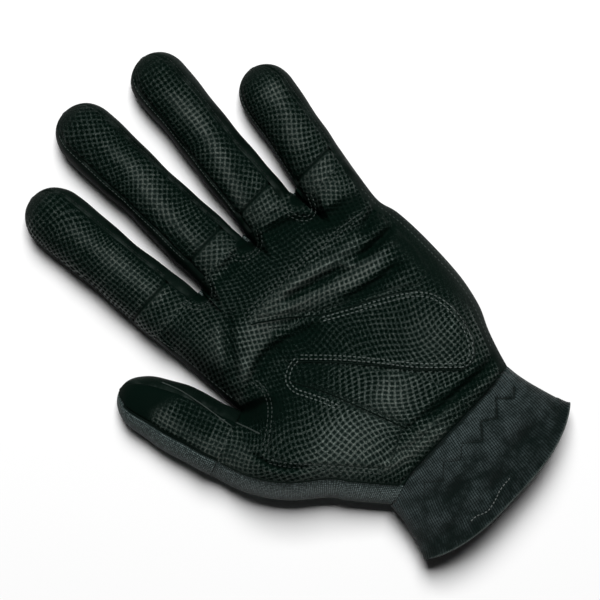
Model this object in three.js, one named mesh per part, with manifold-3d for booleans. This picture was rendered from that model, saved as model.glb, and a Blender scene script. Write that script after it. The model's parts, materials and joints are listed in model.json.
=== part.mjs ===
// A left-hand tactical glove lying palm up: leather palm, stretch-fabric back, boxed fingers and a short cuff.
// Millimetres, +Z up. The glove is laid out in a hand frame (x to the little finger, y to the fingertips, z = 0 at
// the surface it lies on) and the finished group is moved so that the origin is under the middle of the glove.
import * as THREE from "three";
import { mergeVertices } from "three/addons/utils/BufferGeometryUtils.js";
import Module from "manifold-3d";

const wasm = await Module();
wasm.setup();

// Materials' thickness and the clearance at every seam
const WALL = 1.6; // leather or fabric with its seam allowance
const PATCH_WALL = 1.2; // reinforcement leather on the palm
const LINING_WALL = 1.0; // turned-in hem and elastic inside the cuff
const SEAM_GAP = 0.4; // between two panels that are sewn edge to edge
const LAYER_GAP = 0.3; // between two layers that lie on each other
const PATCH_GAP = 0.8; // between neighbouring panels on the palm

// Fingers, from the thumb side to the little finger
// width: across the base; length: knuckle to tip; bend: knuckle to the middle crease; splay: degrees from +y
// knuckle: y of the base crease; basePanel: length of the short panel there; web: gap to the finger before it
const FINGERS = {
  index: { width: 27, length: 78.5, bend: 40, splay: -3.6, knuckle: 147, basePanel: 12, web: 0 },
  middle: { width: 27, length: 91, bend: 46, splay: 0.4, knuckle: 149, basePanel: 9, web: 3 },
  ring: { width: 26, length: 84.5, bend: 42, splay: 8, knuckle: 148, basePanel: 8, web: 1.6 },
  little: { width: 25.5, length: 56.5, bend: 30, splay: 13.5, knuckle: 140, basePanel: 8, web: 1.2 },
};
const MIDDLE_FINGER_X = -12.2; // centre of the middle finger's base
const FINGER_HEIGHT = 17; // at the knuckle crease
const FINGERTIP_HEIGHT = 14.5; // where the tip starts to round off
const FINGERTIP_TAPER = 0.94; // width where the tip starts to round off, as a share of the base width
const FINGERTIP_ROUND = 13; // length of the rounded end

// Thumb
const THUMB = { width: 31, length: 50, bend: 24, splay: -16.5 };
const THUMB_HEIGHT = 18;
const THUMB_TIP_HEIGHT = 14;
const THUMB_TIP_TAPER = 0.76;
const THUMB_TIP_ROUND = 15;
const WEB_X = -52.5; // crotch between thumb and index finger
const WEB_Y = 100;

// Palm and back of the hand
const WRIST_Y = 29; // seam between the hand and the cuff
const HEEL_BULGE = 14; // how far the little-finger edge stands out past the wrist
const HEEL_Y = 96; // where it stands out most
const BALL_BULGE = 28; // how far the ball of the thumb stands out past the wrist
const BALL_Y = 60;
const PALM_HEIGHT = 20;
const THENAR_RISE = 4; // swell at the ball of the thumb
const HEEL_RISE = 2.5; // swell at the heel of the hand
const HOLLOW_DROP = 3; // dip in the middle of the palm
const EDGE_ROLL = 15; // distance over which the palm rolls down to its side seam
const SIDE_SEAM_HEIGHT = 8.5;
const RIM_GAP = 1.2; // between the rolled edges of the palm side and the back, at their seam
const SIDE_STRIP_AT_WRIST = 15; // fabric that shows beside the leather along the thumb side
const SIDE_STRIP_AT_THUMB = 8;

// Cuff
const WRIST_WIDTH = 77;
const CUFF_MOUTH_WIDTH = 89;
const CUFF_MOUTH_Y = 1; // at the two sides of the mouth
const CUFF_MOUTH_BOW = 9; // how far the middle of the mouth stands out past its sides
const CUFF_HEIGHT = 18;
const CUFF_MOUTH_HEIGHT = 15;
const HEM_WIDTH = 9;
const ELASTIC_WIDTH = 9;
const ELASTIC_FROM_SEAM = 4;
const ELASTIC_LENGTH = 56;

// Mesh fineness
const PALM_GRID = 6.5;
const SECTION_POWER = 2.7; // above 2, a section is squarer than an ellipse
const FLOOR_SINK = 0.7; // depth of a section that is pressed flat where the glove lies on it
const RIM = 0.25; // least half-size of a hollow at a closed fingertip

const LEATHER = { color: 0x171d1b, roughness: 0.55, metalness: 0 };
const SMOOTH_LEATHER = { color: 0x101614, roughness: 0.5, metalness: 0 };
const FABRIC = { color: 0x30383a, roughness: 0.9, metalness: 0 };
const RIBBED_FABRIC = { color: 0x262d2f, roughness: 0.95, metalness: 0 };
const ELASTIC = { color: 0x0c0e0e, roughness: 0.8, metalness: 0 };

const radians = THREE.MathUtils.degToRad;
const lerp = THREE.MathUtils.lerp;
const smooth = THREE.MathUtils.smoothstep;

// Closed geometry and booleans

/** A mesh with merged vertices from a list of positions and triangles, turned so that its faces point out. */
function closedGeometry(points, triangles) {
  const geometry = new THREE.BufferGeometry();
  geometry.setAttribute("position", new THREE.Float32BufferAttribute(points.flatMap((p) => p.toArray()), 3));
  let volume = 0;
  for (const [a, b, c] of triangles) volume += points[a].dot(points[b].clone().cross(points[c]));
  const facing = volume < 0 ? triangles.map(([a, b, c]) => [a, c, b]) : triangles;
  geometry.setIndex(facing.flat());
  return geometry;
}

/** A sheet with thickness: two grids of points of the same size, joined round their four edges. */
function sheetSolid(outer, inner) {
  const rows = outer.length;
  const columns = outer[0].length;
  const points = [...outer.flat(), ...inner.flat()];
  const layer = rows * columns;
  const triangles = [];
  const quad = (a, b, c, d) => triangles.push([a, b, c], [a, c, d]);
  for (let i = 0; i < rows - 1; i++)
    for (let j = 0; j < columns - 1; j++) {
      const a = i * columns + j;
      quad(a, a + 1, a + columns + 1, a + columns);
      quad(layer + a, layer + a + columns, layer + a + columns + 1, layer + a + 1);
    }
  const rim = [];
  for (let j = 0; j < columns - 1; j++) rim.push(j);
  for (let i = 0; i < rows - 1; i++) rim.push(i * columns + columns - 1);
  for (let j = columns - 1; j > 0; j--) rim.push((rows - 1) * columns + j);
  for (let i = rows - 1; i > 0; i--) rim.push(i * columns);
  rim.forEach((a, k) => {
    const b = rim[(k + 1) % rim.length];
    quad(b, a, layer + a, layer + b);
  });
  return closedGeometry(points, triangles);
}

function toSolid(geometry) {
  const bare = geometry.clone();
  bare.deleteAttribute("normal");
  bare.deleteAttribute("uv");
  const merged = mergeVertices(bare, 1e-4);
  return new wasm.Manifold(
    new wasm.Mesh({
      numProp: 3,
      vertProperties: new Float32Array(merged.attributes.position.array),
      triVerts: new Uint32Array(merged.index.array),
    }),
  );
}

function toGeometry(solid) {
  const mesh = solid.getMesh();
  const geometry = new THREE.BufferGeometry();
  geometry.setAttribute("position", new THREE.BufferAttribute(mesh.vertProperties, 3));
  geometry.setIndex(new THREE.BufferAttribute(mesh.triVerts, 1));
  return geometry;
}

// Tubes: fingers, thumb and cuff

/** The share of a finger's section that is left at a distance s, 1 along the stem and falling round the tip. */
function tipShare(s, length, round) {
  const past = Math.max(0, s - (length - round)) / round;
  return Math.sqrt(Math.max(0, 1 - past * past));
}

/** A point of a squared-off oval section, pressed flat at the height it lies at. */
function sectionPoint(angle, halfWidth, halfHeight, floor) {
  const power = 2 / SECTION_POWER;
  const across = Math.cos(angle);
  const up = Math.sin(angle);
  const x = Math.sign(across) * Math.abs(across) ** power * halfWidth;
  const z = Math.sign(up) * Math.abs(up) ** power * halfHeight;
  return { x, z: Math.max(z, floor) };
}

/** A finger or thumb stall: a straight tube from its base crease to a closed tip. */
class Stall {
  constructor(base, size, heights, taper, round, squareBase) {
    Object.assign(this, { base, heights, taper, round, squareBase, ...size });
    this.angle = radians(this.splay);
    this.along = new THREE.Vector2(Math.sin(this.angle), Math.cos(this.angle));
  }

  /** Height of the palm side at distance s. */
  top(s) {
    return lerp(this.heights[0], this.heights[1], Math.min(1, s / (this.length - this.round)));
  }

  /** The direction across the stall: square to the hand at the base crease, square to the stall past the bend. */
  across(s) {
    const turn = this.angle * (this.squareBase ? smooth(s, 0, this.bend) : 1);
    return new THREE.Vector2(Math.cos(turn), -Math.sin(turn));
  }

  /** A point of the stall's skin at distance s and section angle, moved in by depth. */
  point(s, angle, depth) {
    const share = tipShare(s, this.length, this.round);
    const width = this.width * lerp(1, this.taper, Math.min(1, s / (this.length - this.round)));
    const height = this.top(s) + FLOOR_SINK;
    const halfWidth = Math.max(RIM, (width / 2) * share - depth);
    const halfHeight = Math.max(RIM, (height / 2) * share - depth);
    const middle = height / 2 - FLOOR_SINK;
    const at = sectionPoint(angle, halfWidth, halfHeight, depth - middle);
    const centre = this.base.clone().addScaledVector(this.along, s).addScaledVector(this.across(s), at.x);
    return new THREE.Vector3(centre.x, centre.y, middle + at.z);
  }

  /** A panel of the skin between two distances and two section angles in degrees. */
  panel(from, to, fromAngle, toAngle, rings, slices) {
    const gapAngle = SEAM_GAP / 2 / (this.heights[1] / 2);
    const start = radians(fromAngle) + gapAngle;
    const end = radians(toAngle) - gapAngle;
    const grid = (depth) =>
      Array.from({ length: rings + 1 }, (_, i) =>
        Array.from({ length: slices + 1 }, (_, j) =>
          this.point(lerp(from, to, this.spacing(i / rings, to)), lerp(start, end, j / slices), depth),
        ),
      );
    return sheetSolid(grid(0), grid(WALL));
  }

  /** Rings lie evenly along a stem, and closer together towards a closed tip. */
  spacing(t, to) {
    return to < this.length - this.round ? t : Math.sin((t * Math.PI) / 2);
  }
}

// Layout of the fingers across the hand

const names = Object.keys(FINGERS);

/** Base centre of each finger: the middle finger's is given, and the others stand beside it with their webs. */
function fingerBases() {
  const x = { middle: MIDDLE_FINGER_X };
  const reach = (a, b) => (FINGERS[a].width + FINGERS[b].width) / 2 + FINGERS[b].web;
  x.index = x.middle - reach("index", "middle");
  x.ring = x.middle + reach("middle", "ring");
  x.little = x.ring + reach("ring", "little");
  return x;
}

const baseX = fingerBases();
const edgeOf = (name, side) => baseX[name] + (side * FINGERS[name].width) / 2;

const stalls = Object.fromEntries(
  names.map((name) => {
    const base = new THREE.Vector2(baseX[name], FINGERS[name].knuckle + SEAM_GAP / 2);
    const heights = [FINGER_HEIGHT, FINGERTIP_HEIGHT];
    return [name, new Stall(base, FINGERS[name], heights, FINGERTIP_TAPER, FINGERTIP_ROUND, true)];
  }),
);

const thumbAngle = radians(THUMB.splay);
const thumbAcross = new THREE.Vector2(Math.cos(thumbAngle), -Math.sin(thumbAngle));
const thumbAlong = new THREE.Vector2(Math.sin(thumbAngle), Math.cos(thumbAngle));
const web = new THREE.Vector2(WEB_X, WEB_Y);
const thumbOuter = web.clone().addScaledVector(thumbAcross, -THUMB.width);
const thumbBase = web.clone().lerp(thumbOuter, 0.5).addScaledVector(thumbAlong, SEAM_GAP / 2);
const thumbHeights = [THUMB_HEIGHT, THUMB_TIP_HEIGHT];
const thumbStall = new Stall(thumbBase, THUMB, thumbHeights, THUMB_TIP_TAPER, THUMB_TIP_ROUND, false);

// Plan of the hand

const wristLeft = new THREE.Vector2(-WRIST_WIDTH / 2 - 0.5, WRIST_Y);
const wristRight = new THREE.Vector2(WRIST_WIDTH / 2 - 0.5, WRIST_Y);

/** Points along a smooth curve through a few plan points. */
function curve(points, count) {
  return new THREE.SplineCurve(points).getPoints(count);
}

const littleEdge = curve(
  [
    wristRight,
    new THREE.Vector2(wristRight.x + HEEL_BULGE * 0.62, lerp(WRIST_Y, HEEL_Y, 0.36)),
    new THREE.Vector2(wristRight.x + HEEL_BULGE, HEEL_Y),
    new THREE.Vector2(edgeOf("little", 1), FINGERS.little.knuckle),
  ],
  12,
);
const thumbEdge = curve(
  [
    wristLeft,
    new THREE.Vector2(wristLeft.x - BALL_BULGE * 0.46, lerp(WRIST_Y, BALL_Y, 0.55)),
    new THREE.Vector2(wristLeft.x - BALL_BULGE, BALL_Y),
    thumbOuter,
  ],
  10,
);
const indexEdge = [web, new THREE.Vector2(edgeOf("index", -1), FINGERS.index.knuckle)];

/** The stepped line where the fingers start, from the index finger's outer corner to the little finger's. */
function knuckleLine() {
  const line = [];
  names.forEach((name, k) => {
    const left = k ? (edgeOf(names[k - 1], 1) + edgeOf(name, -1)) / 2 : edgeOf(name, -1);
    const right = k + 1 < names.length ? (edgeOf(name, 1) + edgeOf(names[k + 1], -1)) / 2 : edgeOf(name, 1);
    const y = FINGERS[name].knuckle - SEAM_GAP / 2;
    line.push(new THREE.Vector2(left, y), new THREE.Vector2(right, y));
  });
  return line;
}

/** The thumb edge moved in by a share of the fabric strip that shows beside the leather, and by a gap. */
function insetThumbEdge(share, gap) {
  const last = thumbEdge.length - 1;
  return thumbEdge.map((p, i) => {
    const inset = share * lerp(SIDE_STRIP_AT_WRIST, SIDE_STRIP_AT_THUMB, i / last) + gap;
    if (i === 0) return new THREE.Vector2(p.x + inset, p.y);
    if (i === last) return p.clone().addScaledVector(thumbAcross, inset);
    const way = thumbEdge[i + 1].clone().sub(thumbEdge[i - 1]).normalize();
    return p.clone().add(new THREE.Vector2(way.y, -way.x).multiplyScalar(inset));
  });
}

const wristSetBack = new THREE.Vector2(0, SEAM_GAP / 2);
const thumbSetBack = thumbAlong.clone().multiplyScalar(-SEAM_GAP / 2);

/** Outline of the hand, with its thumb-side edge moved in for the leather of the palm. */
function handOutline(share, gap) {
  const side = insetThumbEdge(share, gap);
  const first = side[0].clone().add(wristSetBack);
  const last = side[side.length - 1].clone().add(thumbSetBack);
  return [
    wristRight.clone().add(wristSetBack),
    first,
    ...side.slice(1, -1),
    last,
    web.clone().add(thumbSetBack),
    ...knuckleLine(),
    ...littleEdge.slice(1, -1).reverse(),
  ];
}

// Relief of the palm side

/** Distance in from an edge, negative outside it; inside is -1 where it lies to the right of the edge's run. */
function distanceIn(p, { line, inside }) {
  let least = Infinity;
  let signed = 0;
  for (let i = 0; i + 1 < line.length; i++) {
    const way = line[i + 1].clone().sub(line[i]);
    const reach = p.clone().sub(line[i]);
    const t = THREE.MathUtils.clamp(reach.dot(way) / way.lengthSq(), 0, 1);
    const distance = p.distanceTo(line[i].clone().addScaledVector(way, t));
    if (distance >= least) continue;
    least = distance;
    const pastStart = i === 0 && t === 0;
    signed = pastStart || way.cross(reach) * inside > 0 ? distance : -distance;
  }
  return signed;
}

// The three side edges of the hand, run on past the seams at their ends so that the relief keeps its slope there
const RUN_ON = 25;
const downhand = new THREE.Vector2(0, -RUN_ON);
const uphand = new THREE.Vector2(0, RUN_ON);
const littleCorner = littleEdge[littleEdge.length - 1];
const pastThumb = thumbOuter.clone().addScaledVector(thumbAlong, RUN_ON);
const sideEdges = [
  { line: [wristRight.clone().add(downhand), ...littleEdge, littleCorner.clone().add(uphand)], inside: 1 },
  { line: [wristLeft.clone().add(downhand), ...thumbEdge, pastThumb], inside: -1 },
  { line: [...indexEdge, indexEdge[1].clone().add(uphand)], inside: -1 },
];

/** 0 at a side seam, 1 once the roll of the edge is passed, and falling on at the same slope outside the seam. */
function edgeRoll(p) {
  const edge = Math.min(...sideEdges.map((side) => distanceIn(p, side))) / EDGE_ROLL;
  return edge < 0 ? Math.max(-1, 2 * edge) : 1 - (1 - Math.min(1, edge)) ** 2;
}

/** A round swell of unit height about a plan point. */
function swell(p, x, y, radius) {
  const share = p.distanceToSquared(new THREE.Vector2(x, y)) / radius ** 2;
  return Math.exp(-share);
}

const thumbBallX = lerp(thumbOuter.x, web.x, 0.75);
const littleSideX = edgeOf("little", -1);

/** Height of the palm side over a plan point. */
function palmTop(x, y) {
  const p = new THREE.Vector2(x, y);
  const open =
    PALM_HEIGHT +
    THENAR_RISE * swell(p, thumbBallX, BALL_Y, 26) +
    HEEL_RISE * swell(p, littleSideX, BALL_Y, 24) -
    HOLLOW_DROP * swell(p, 0, WEB_Y, 28);
  const knuckle = Math.min(...names.map((name) => FINGERS[name].knuckle));
  const toFingers = smooth(y, knuckle - 22, knuckle - 4);
  const toThumb = 1 - smooth(p.clone().sub(web).dot(thumbAlong.clone().negate()), 0, 20);
  const nearThumb = toThumb * smooth(-x, -web.x - 12, -web.x + 4) * (1 - toFingers);
  const toCuff = 1 - smooth(y, WRIST_Y, WRIST_Y + 18);
  let full = lerp(open, FINGER_HEIGHT, toFingers);
  full = lerp(full, THUMB_HEIGHT, nearThumb);
  full = lerp(full, CUFF_HEIGHT, toCuff);
  return SIDE_SEAM_HEIGHT + (full - SIDE_SEAM_HEIGHT) * edgeRoll(p);
}

/** Height of the fabric back over a plan point: flat on the surface and rolled up to the side seam at its edges. */
function backBottom(x, y) {
  const rim = SIDE_SEAM_HEIGHT - 2 * WALL - RIM_GAP;
  return rim * (1 - edgeRoll(new THREE.Vector2(x, y)));
}

/** A sheet that follows a relief, cut to a plan outline. */
function drapedSheet(outline, bottom, wall) {
  const box = new THREE.Box2().setFromPoints(handOutline(0, 0)).expandByScalar(PALM_GRID);
  const columns = Math.ceil((box.max.x - box.min.x) / PALM_GRID);
  const rows = Math.ceil((box.max.y - box.min.y) / PALM_GRID);
  const layer = (rise) =>
    Array.from({ length: rows + 1 }, (_, i) =>
      Array.from({ length: columns + 1 }, (_, j) => {
        const x = box.min.x + j * PALM_GRID;
        const y = box.min.y + i * PALM_GRID;
        return new THREE.Vector3(x, y, bottom(x, y) + rise);
      }),
    );
  const sheet = toSolid(sheetSolid(layer(wall), layer(0)));
  const depth = 4 * PALM_HEIGHT;
  const prism = new THREE.ExtrudeGeometry(new THREE.Shape(outline), { depth, bevelEnabled: false });
  prism.translate(0, 0, -depth / 2);
  return toGeometry(sheet.intersect(toSolid(prism)));
}

// Sub-parts

const glove = new THREE.Group();

function addPart(name, geometry, finish) {
  const mesh = new THREE.Mesh(geometry, new THREE.MeshStandardMaterial(finish));
  mesh.name = name;
  glove.add(mesh);
}

// Section angles of a finger's four seams: 0 points to the little finger, 90 to the palm side
const FRONT_SEAMS = [38, 142];
const BACK_SEAMS = [218, 322];

function addFinger(name) {
  const stall = stalls[name];
  const { bend, basePanel, length } = FINGERS[name];
  const lower = [0, bend - SEAM_GAP / 2];
  const tip = [bend + SEAM_GAP / 2, length];
  addPart(`${name}_base_panel`, stall.panel(0, basePanel - SEAM_GAP / 2, ...FRONT_SEAMS, 2, 4), LEATHER);
  addPart(`${name}_front_lower`, stall.panel(basePanel + SEAM_GAP / 2, lower[1], ...FRONT_SEAMS, 3, 4), LEATHER);
  addPart(`${name}_front_tip`, stall.panel(...tip, ...FRONT_SEAMS, 6, 4), LEATHER);
  addPart(`${name}_back_lower`, stall.panel(...lower, ...BACK_SEAMS, 3, 5), FABRIC);
  addPart(`${name}_back_tip`, stall.panel(...tip, ...BACK_SEAMS, 6, 5), FABRIC);
  const walls = { littleside: [BACK_SEAMS[1] - 360, FRONT_SEAMS[0]], thumbside: [FRONT_SEAMS[1], BACK_SEAMS[0]] };
  for (const [side, seams] of Object.entries(walls)) {
    addPart(`${name}_${side}_wall_lower`, stall.panel(...lower, ...seams, 3, 3), SMOOTH_LEATHER);
    addPart(`${name}_${side}_wall_tip`, stall.panel(...tip, ...seams, 6, 3), SMOOTH_LEATHER);
  }
}

// The thumb's fabric back wraps round its outer side, so it has three seams
const THUMB_SEAMS = { front: [49, 114], back: [114, 318], inner: [-42, 49] };

function addThumb() {
  const { bend, length } = THUMB;
  const parts = { front: [LEATHER, 4], back: [FABRIC, 8], inner: [SMOOTH_LEATHER, 3] };
  for (const [side, [finish, slices]] of Object.entries(parts)) {
    const seams = THUMB_SEAMS[side];
    const label = side === "inner" ? "inner_wall" : side;
    addPart(`thumb_${label}_lower`, thumbStall.panel(0, bend - SEAM_GAP / 2, ...seams, 2, slices), finish);
    addPart(`thumb_${label}_tip`, thumbStall.panel(bend + SEAM_GAP / 2, length, ...seams, 6, slices), finish);
  }
}

/** Plan outline through hand-frame points. */
function patchOutline(points) {
  return points.map(([x, y]) => new THREE.Vector2(x, y));
}

// Panels sewn on the palm, in hand-frame points: a flap that runs from under the index finger to the heel, a wedge
// that lets the palm fold under the ring and little fingers, a tongue that lets it fold at the ball of the thumb,
// and the panel over that ball
const HEEL_FLAP_TOP = [
  [-20, 120.2],
  [-10, 112.5],
  [0, 103.5],
  [10, 96.5],
  [20, 90.5],
  [30, 84.5],
  [37, 79.5],
];
const HEEL_FLAP_END = [
  [40, 75],
  [40.3, 65],
  [38.5, 53],
  [34, 45.5],
  [28, 42.3],
  [23, 44.5],
];
const HEEL_FLAP_BOTTOM = [
  [10, 58.5],
  [0, 72],
  [-10, 84.5],
  [-20, 95.5],
];
const HEEL_FLAP_ROOT = [
  [-29, 101],
  [-27, 112],
];
const WEDGE_TOP = [
  [45, 82],
  [48, 92],
  [48.5, 105],
  [47.5, 115],
  [40, 116.6],
  [25, 119.6],
  [10, 121.6],
  [-5, 122.6],
  [-18, 122.8],
];
const TONGUE_END = [
  [16, 38],
  [-8, 38],
];
const TONGUE_THUMB_SIDE = [
  [-10, 46],
  [-13, 55],
  [-18, 70],
  [-22, 81],
  [-26.5, 90],
];
const THENAR_END = [
  [-27, 38.5],
  [-33, 45],
  [-42, 56.5],
  [-52, 68],
  [-57, 76],
  [-57.5, 80.5],
  [-45, 88],
  [-33, 93],
];

/** The same line moved by a plan offset, for the panel on its other side. */
function shifted(points, dx, dy) {
  return points.map(([x, y]) => [x + dx, y + dy]);
}

function addHand() {
  const palmBottom = (x, y) => palmTop(x, y) - WALL;
  addPart("palm_panel", drapedSheet(handOutline(1, SEAM_GAP), palmBottom, WALL), LEATHER);
  const stripOutline = [...insetThumbEdge(0, 0), ...insetThumbEdge(1, 0).reverse()];
  stripOutline[0].add(wristSetBack);
  stripOutline[thumbEdge.length - 1].add(thumbSetBack);
  stripOutline[thumbEdge.length].add(thumbSetBack);
  stripOutline[stripOutline.length - 1].add(wristSetBack);
  addPart("thumb_side_strip", drapedSheet(stripOutline, palmBottom, WALL), FABRIC);
  addPart("back_panel", drapedSheet(handOutline(0, 0), backBottom, WALL), FABRIC);
  const onPalm = (x, y) => palmTop(x, y) + LAYER_GAP;
  const addPatch = (name, points) => {
    addPart(name, drapedSheet(patchOutline(points), onPalm, PATCH_WALL), LEATHER);
  };
  const flapBottom = [HEEL_FLAP_END[HEEL_FLAP_END.length - 1], ...HEEL_FLAP_BOTTOM];
  addPatch("heel_patch", [...HEEL_FLAP_TOP, ...HEEL_FLAP_END, ...HEEL_FLAP_BOTTOM, ...HEEL_FLAP_ROOT]);
  addPatch("palm_wedge", [...shifted(HEEL_FLAP_TOP, PATCH_GAP, PATCH_GAP), ...WEDGE_TOP]);
  const tongueRight = shifted(flapBottom, -PATCH_GAP, -PATCH_GAP);
  addPatch("palm_gusset", [...TONGUE_END, ...TONGUE_THUMB_SIDE, ...tongueRight.reverse()]);
  addPatch("thenar_patch", [...shifted(TONGUE_THUMB_SIDE, -PATCH_GAP, 0).reverse(), ...THENAR_END]);
}

/** A point of the cuff's skin: t runs from the wrist seam to the mouth. */
function cuffPoint(t, angle, depth) {
  const flare = t ** 1.6;
  const halfWidth = lerp(WRIST_WIDTH, CUFF_MOUTH_WIDTH, flare) / 2 - depth;
  const height = lerp(CUFF_HEIGHT, CUFF_MOUTH_HEIGHT, t) + FLOOR_SINK;
  const middle = height / 2 - FLOOR_SINK;
  const at = sectionPoint(angle, halfWidth, height / 2 - depth, depth - middle);
  const mouth = CUFF_MOUTH_Y - CUFF_MOUTH_BOW * (1 - Math.abs(at.x / halfWidth) ** 3);
  const start = WRIST_Y - SEAM_GAP / 2;
  return new THREE.Vector3((wristLeft.x + wristRight.x) / 2 + at.x, lerp(start, mouth, t), middle + at.z);
}

function cuffPanel(from, to, fromAngle, toAngle, rings, slices, depth, wall) {
  const grid = (inset) =>
    Array.from({ length: rings + 1 }, (_, i) =>
      Array.from({ length: slices + 1 }, (_, j) =>
        cuffPoint(lerp(from, to, i / rings), radians(lerp(fromAngle, toAngle, j / slices)), inset),
      ),
    );
  return sheetSolid(grid(depth), grid(depth + wall));
}

function addCuff() {
  const length = WRIST_Y - CUFF_MOUTH_Y + CUFF_MOUTH_BOW;
  const inside = WALL + LAYER_GAP;
  const hemFrom = 1 - HEM_WIDTH / length;
  const seam = 2; // half the side seam, in degrees of the section
  const front = [seam, 180 - seam];
  const back = [180 + seam, 360 - seam];
  addPart("cuff_front", cuffPanel(0, 1, ...front, 5, 12, 0, WALL), RIBBED_FABRIC);
  addPart("cuff_back", cuffPanel(0, 1, ...back, 5, 12, 0, WALL), RIBBED_FABRIC);
  addPart("cuff_hem_front", cuffPanel(hemFrom, 1, ...front, 2, 12, inside, LINING_WALL), RIBBED_FABRIC);
  addPart("cuff_hem_back", cuffPanel(hemFrom, 1, ...back, 2, 12, inside, LINING_WALL), RIBBED_FABRIC);
  const elasticFrom = ELASTIC_FROM_SEAM / length;
  const elasticTo = elasticFrom + ELASTIC_WIDTH / length;
  const reach = THREE.MathUtils.radToDeg(Math.acos((ELASTIC_LENGTH / WRIST_WIDTH) ** (SECTION_POWER / 2)));
  const band = cuffPanel(elasticFrom, elasticTo, reach, 180 - reach, 1, 8, inside, LINING_WALL);
  addPart("wrist_elastic", band, ELASTIC);
}

addHand();
names.forEach(addFinger);
addThumb();
addCuff();

// The origin is under the middle of the glove's box, on the surface it lies on
const extent = new THREE.Box3().setFromObject(glove);
const middle = extent.getCenter(new THREE.Vector3());
glove.position.set(-middle.x, -middle.y, -extent.min.z);

export default glove;
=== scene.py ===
"""Looks of a left-hand work glove that lies palm up: leather palm side, fabric back and cuff.

Sizes are millimetres in the hand frame: x runs to the little finger, y to the fingertips and
z up from the surface that the glove lies on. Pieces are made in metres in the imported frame.
"""

from __future__ import annotations

import json
import logging
import math
from dataclasses import dataclass
from enum import Enum
from typing import Callable, Sequence

import bpy
import numpy as np
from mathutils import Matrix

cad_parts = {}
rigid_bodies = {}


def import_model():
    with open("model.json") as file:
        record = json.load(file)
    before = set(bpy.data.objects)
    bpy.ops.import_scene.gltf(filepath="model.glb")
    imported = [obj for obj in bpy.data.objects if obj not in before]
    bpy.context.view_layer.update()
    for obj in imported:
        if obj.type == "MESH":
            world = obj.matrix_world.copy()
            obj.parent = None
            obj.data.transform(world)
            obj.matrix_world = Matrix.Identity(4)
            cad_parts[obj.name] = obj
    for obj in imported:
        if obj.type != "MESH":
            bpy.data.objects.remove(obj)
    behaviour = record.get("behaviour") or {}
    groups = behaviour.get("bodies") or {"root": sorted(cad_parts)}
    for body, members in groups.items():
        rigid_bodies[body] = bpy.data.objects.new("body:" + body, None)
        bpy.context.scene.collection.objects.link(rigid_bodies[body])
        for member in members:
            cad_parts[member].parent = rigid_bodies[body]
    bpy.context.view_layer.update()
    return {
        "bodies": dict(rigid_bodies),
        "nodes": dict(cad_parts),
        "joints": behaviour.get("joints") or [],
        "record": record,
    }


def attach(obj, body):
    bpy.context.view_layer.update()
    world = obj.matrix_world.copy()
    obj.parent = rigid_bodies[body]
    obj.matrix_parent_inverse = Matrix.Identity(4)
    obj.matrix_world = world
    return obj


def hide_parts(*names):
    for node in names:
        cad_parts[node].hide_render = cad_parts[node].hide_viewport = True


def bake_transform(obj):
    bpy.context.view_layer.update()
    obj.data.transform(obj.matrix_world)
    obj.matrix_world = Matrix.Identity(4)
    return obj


Array = np.ndarray
Pair = tuple[float, float]
Plan = Sequence[Pair]
Colour = tuple[float, float, float, float]
Inputs = dict[str | int, object]
Socket = bpy.types.NodeSocket
Material = bpy.types.Material

log = logging.getLogger("glove")

MM = 0.001
TINY = 1e-9
FINGER_PITCH = 2.05
PALM_PITCH = 1.95
DIMPLE_DEPTH = 0.26
LEATHER_WALL = 1.1
FABRIC_WALL = 0.9
SECTION_POWER = 2.7
CROWN_POWER = 2.2
FLOOR_SINK = 0.7
WIDEST_SHARE = 0.32
FINGER_HEIGHT = 17.0
FINGERTIP_HEIGHT = 15.4
CUT_TURN = -26.0
CORE_HEIGHT = 8.0
TAPER = 0.22
MIDDLE_KNUCKLE = (-12.2, 149.0)


class Slot(Enum):
    """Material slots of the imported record."""

    DIMPLED = "dimpled_leather"
    SMOOTH = "smooth_leather"
    STRETCH = "stretch_fabric"
    RIBBED = "ribbed_fabric"
    ELASTIC = "elastic"


class Facing(Enum):
    """Side of a draped sheet that shows."""

    UP = 1.0
    DOWN = -1.0


# Plan geometry


def smooth(value: Array | float, low: Array | float, high: Array | float) -> Array:
    """Ease from 0 at low to 1 at high.

    Args:
        value: Values to ease.
        low: Value that gives 0.
        high: Value that gives 1.

    Returns:
        The eased share of each value.
    """
    share = np.clip((np.asarray(value, dtype=float) - low) / (high - low), 0.0, 1.0)
    return share * share * (3.0 - 2.0 * share)


def lerp(start: Array | float, end: Array | float, share: Array | float) -> Array:
    """Mix two values by a share, as start at 0 and end at 1."""
    return start + (end - start) * share


def spline(points: Plan, spacing: float = 1.0) -> Array:
    """Run a smooth line through plan points.

    Args:
        points: Points that the line passes.
        spacing: Distance between the samples.

    Returns:
        Samples along the line, one row each.
    """
    given = np.array(points, dtype=float)
    ends = np.vstack([2 * given[0] - given[1], given, 2 * given[-1] - given[-2]])
    samples = [given[:1]]
    for before, start, end, after in zip(ends, ends[1:], ends[2:], ends[3:]):
        count = max(2, math.ceil(float(np.linalg.norm(end - start)) / spacing))
        t = np.linspace(0.0, 1.0, count + 1)[1:, None]
        bend = 2 * before - 5 * start + 4 * end - after
        twist = 3 * start - before - 3 * end + after
        samples.append(start + 0.5 * ((end - before) * t + bend * t**2 + twist * t**3))
    return np.vstack(samples)


def run_along(line: Array) -> Array:
    """Distance from the start of a line to each of its points."""
    return np.concatenate([[0.0], np.cumsum(np.linalg.norm(np.diff(line, axis=0), axis=1))])


def bulge(value: Array, power: Array | float) -> Array:
    """Raise a sine or cosine to a power and keep its sign, for a squarer section."""
    return np.sign(value) * np.abs(value) ** power


def taper(along: Array) -> Array:
    """Ease to 0 at both ends of a line, from the share of its run."""
    return smooth(along, 0.0, TAPER) * (1.0 - smooth(along, 1.0 - TAPER, 1.0))


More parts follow.
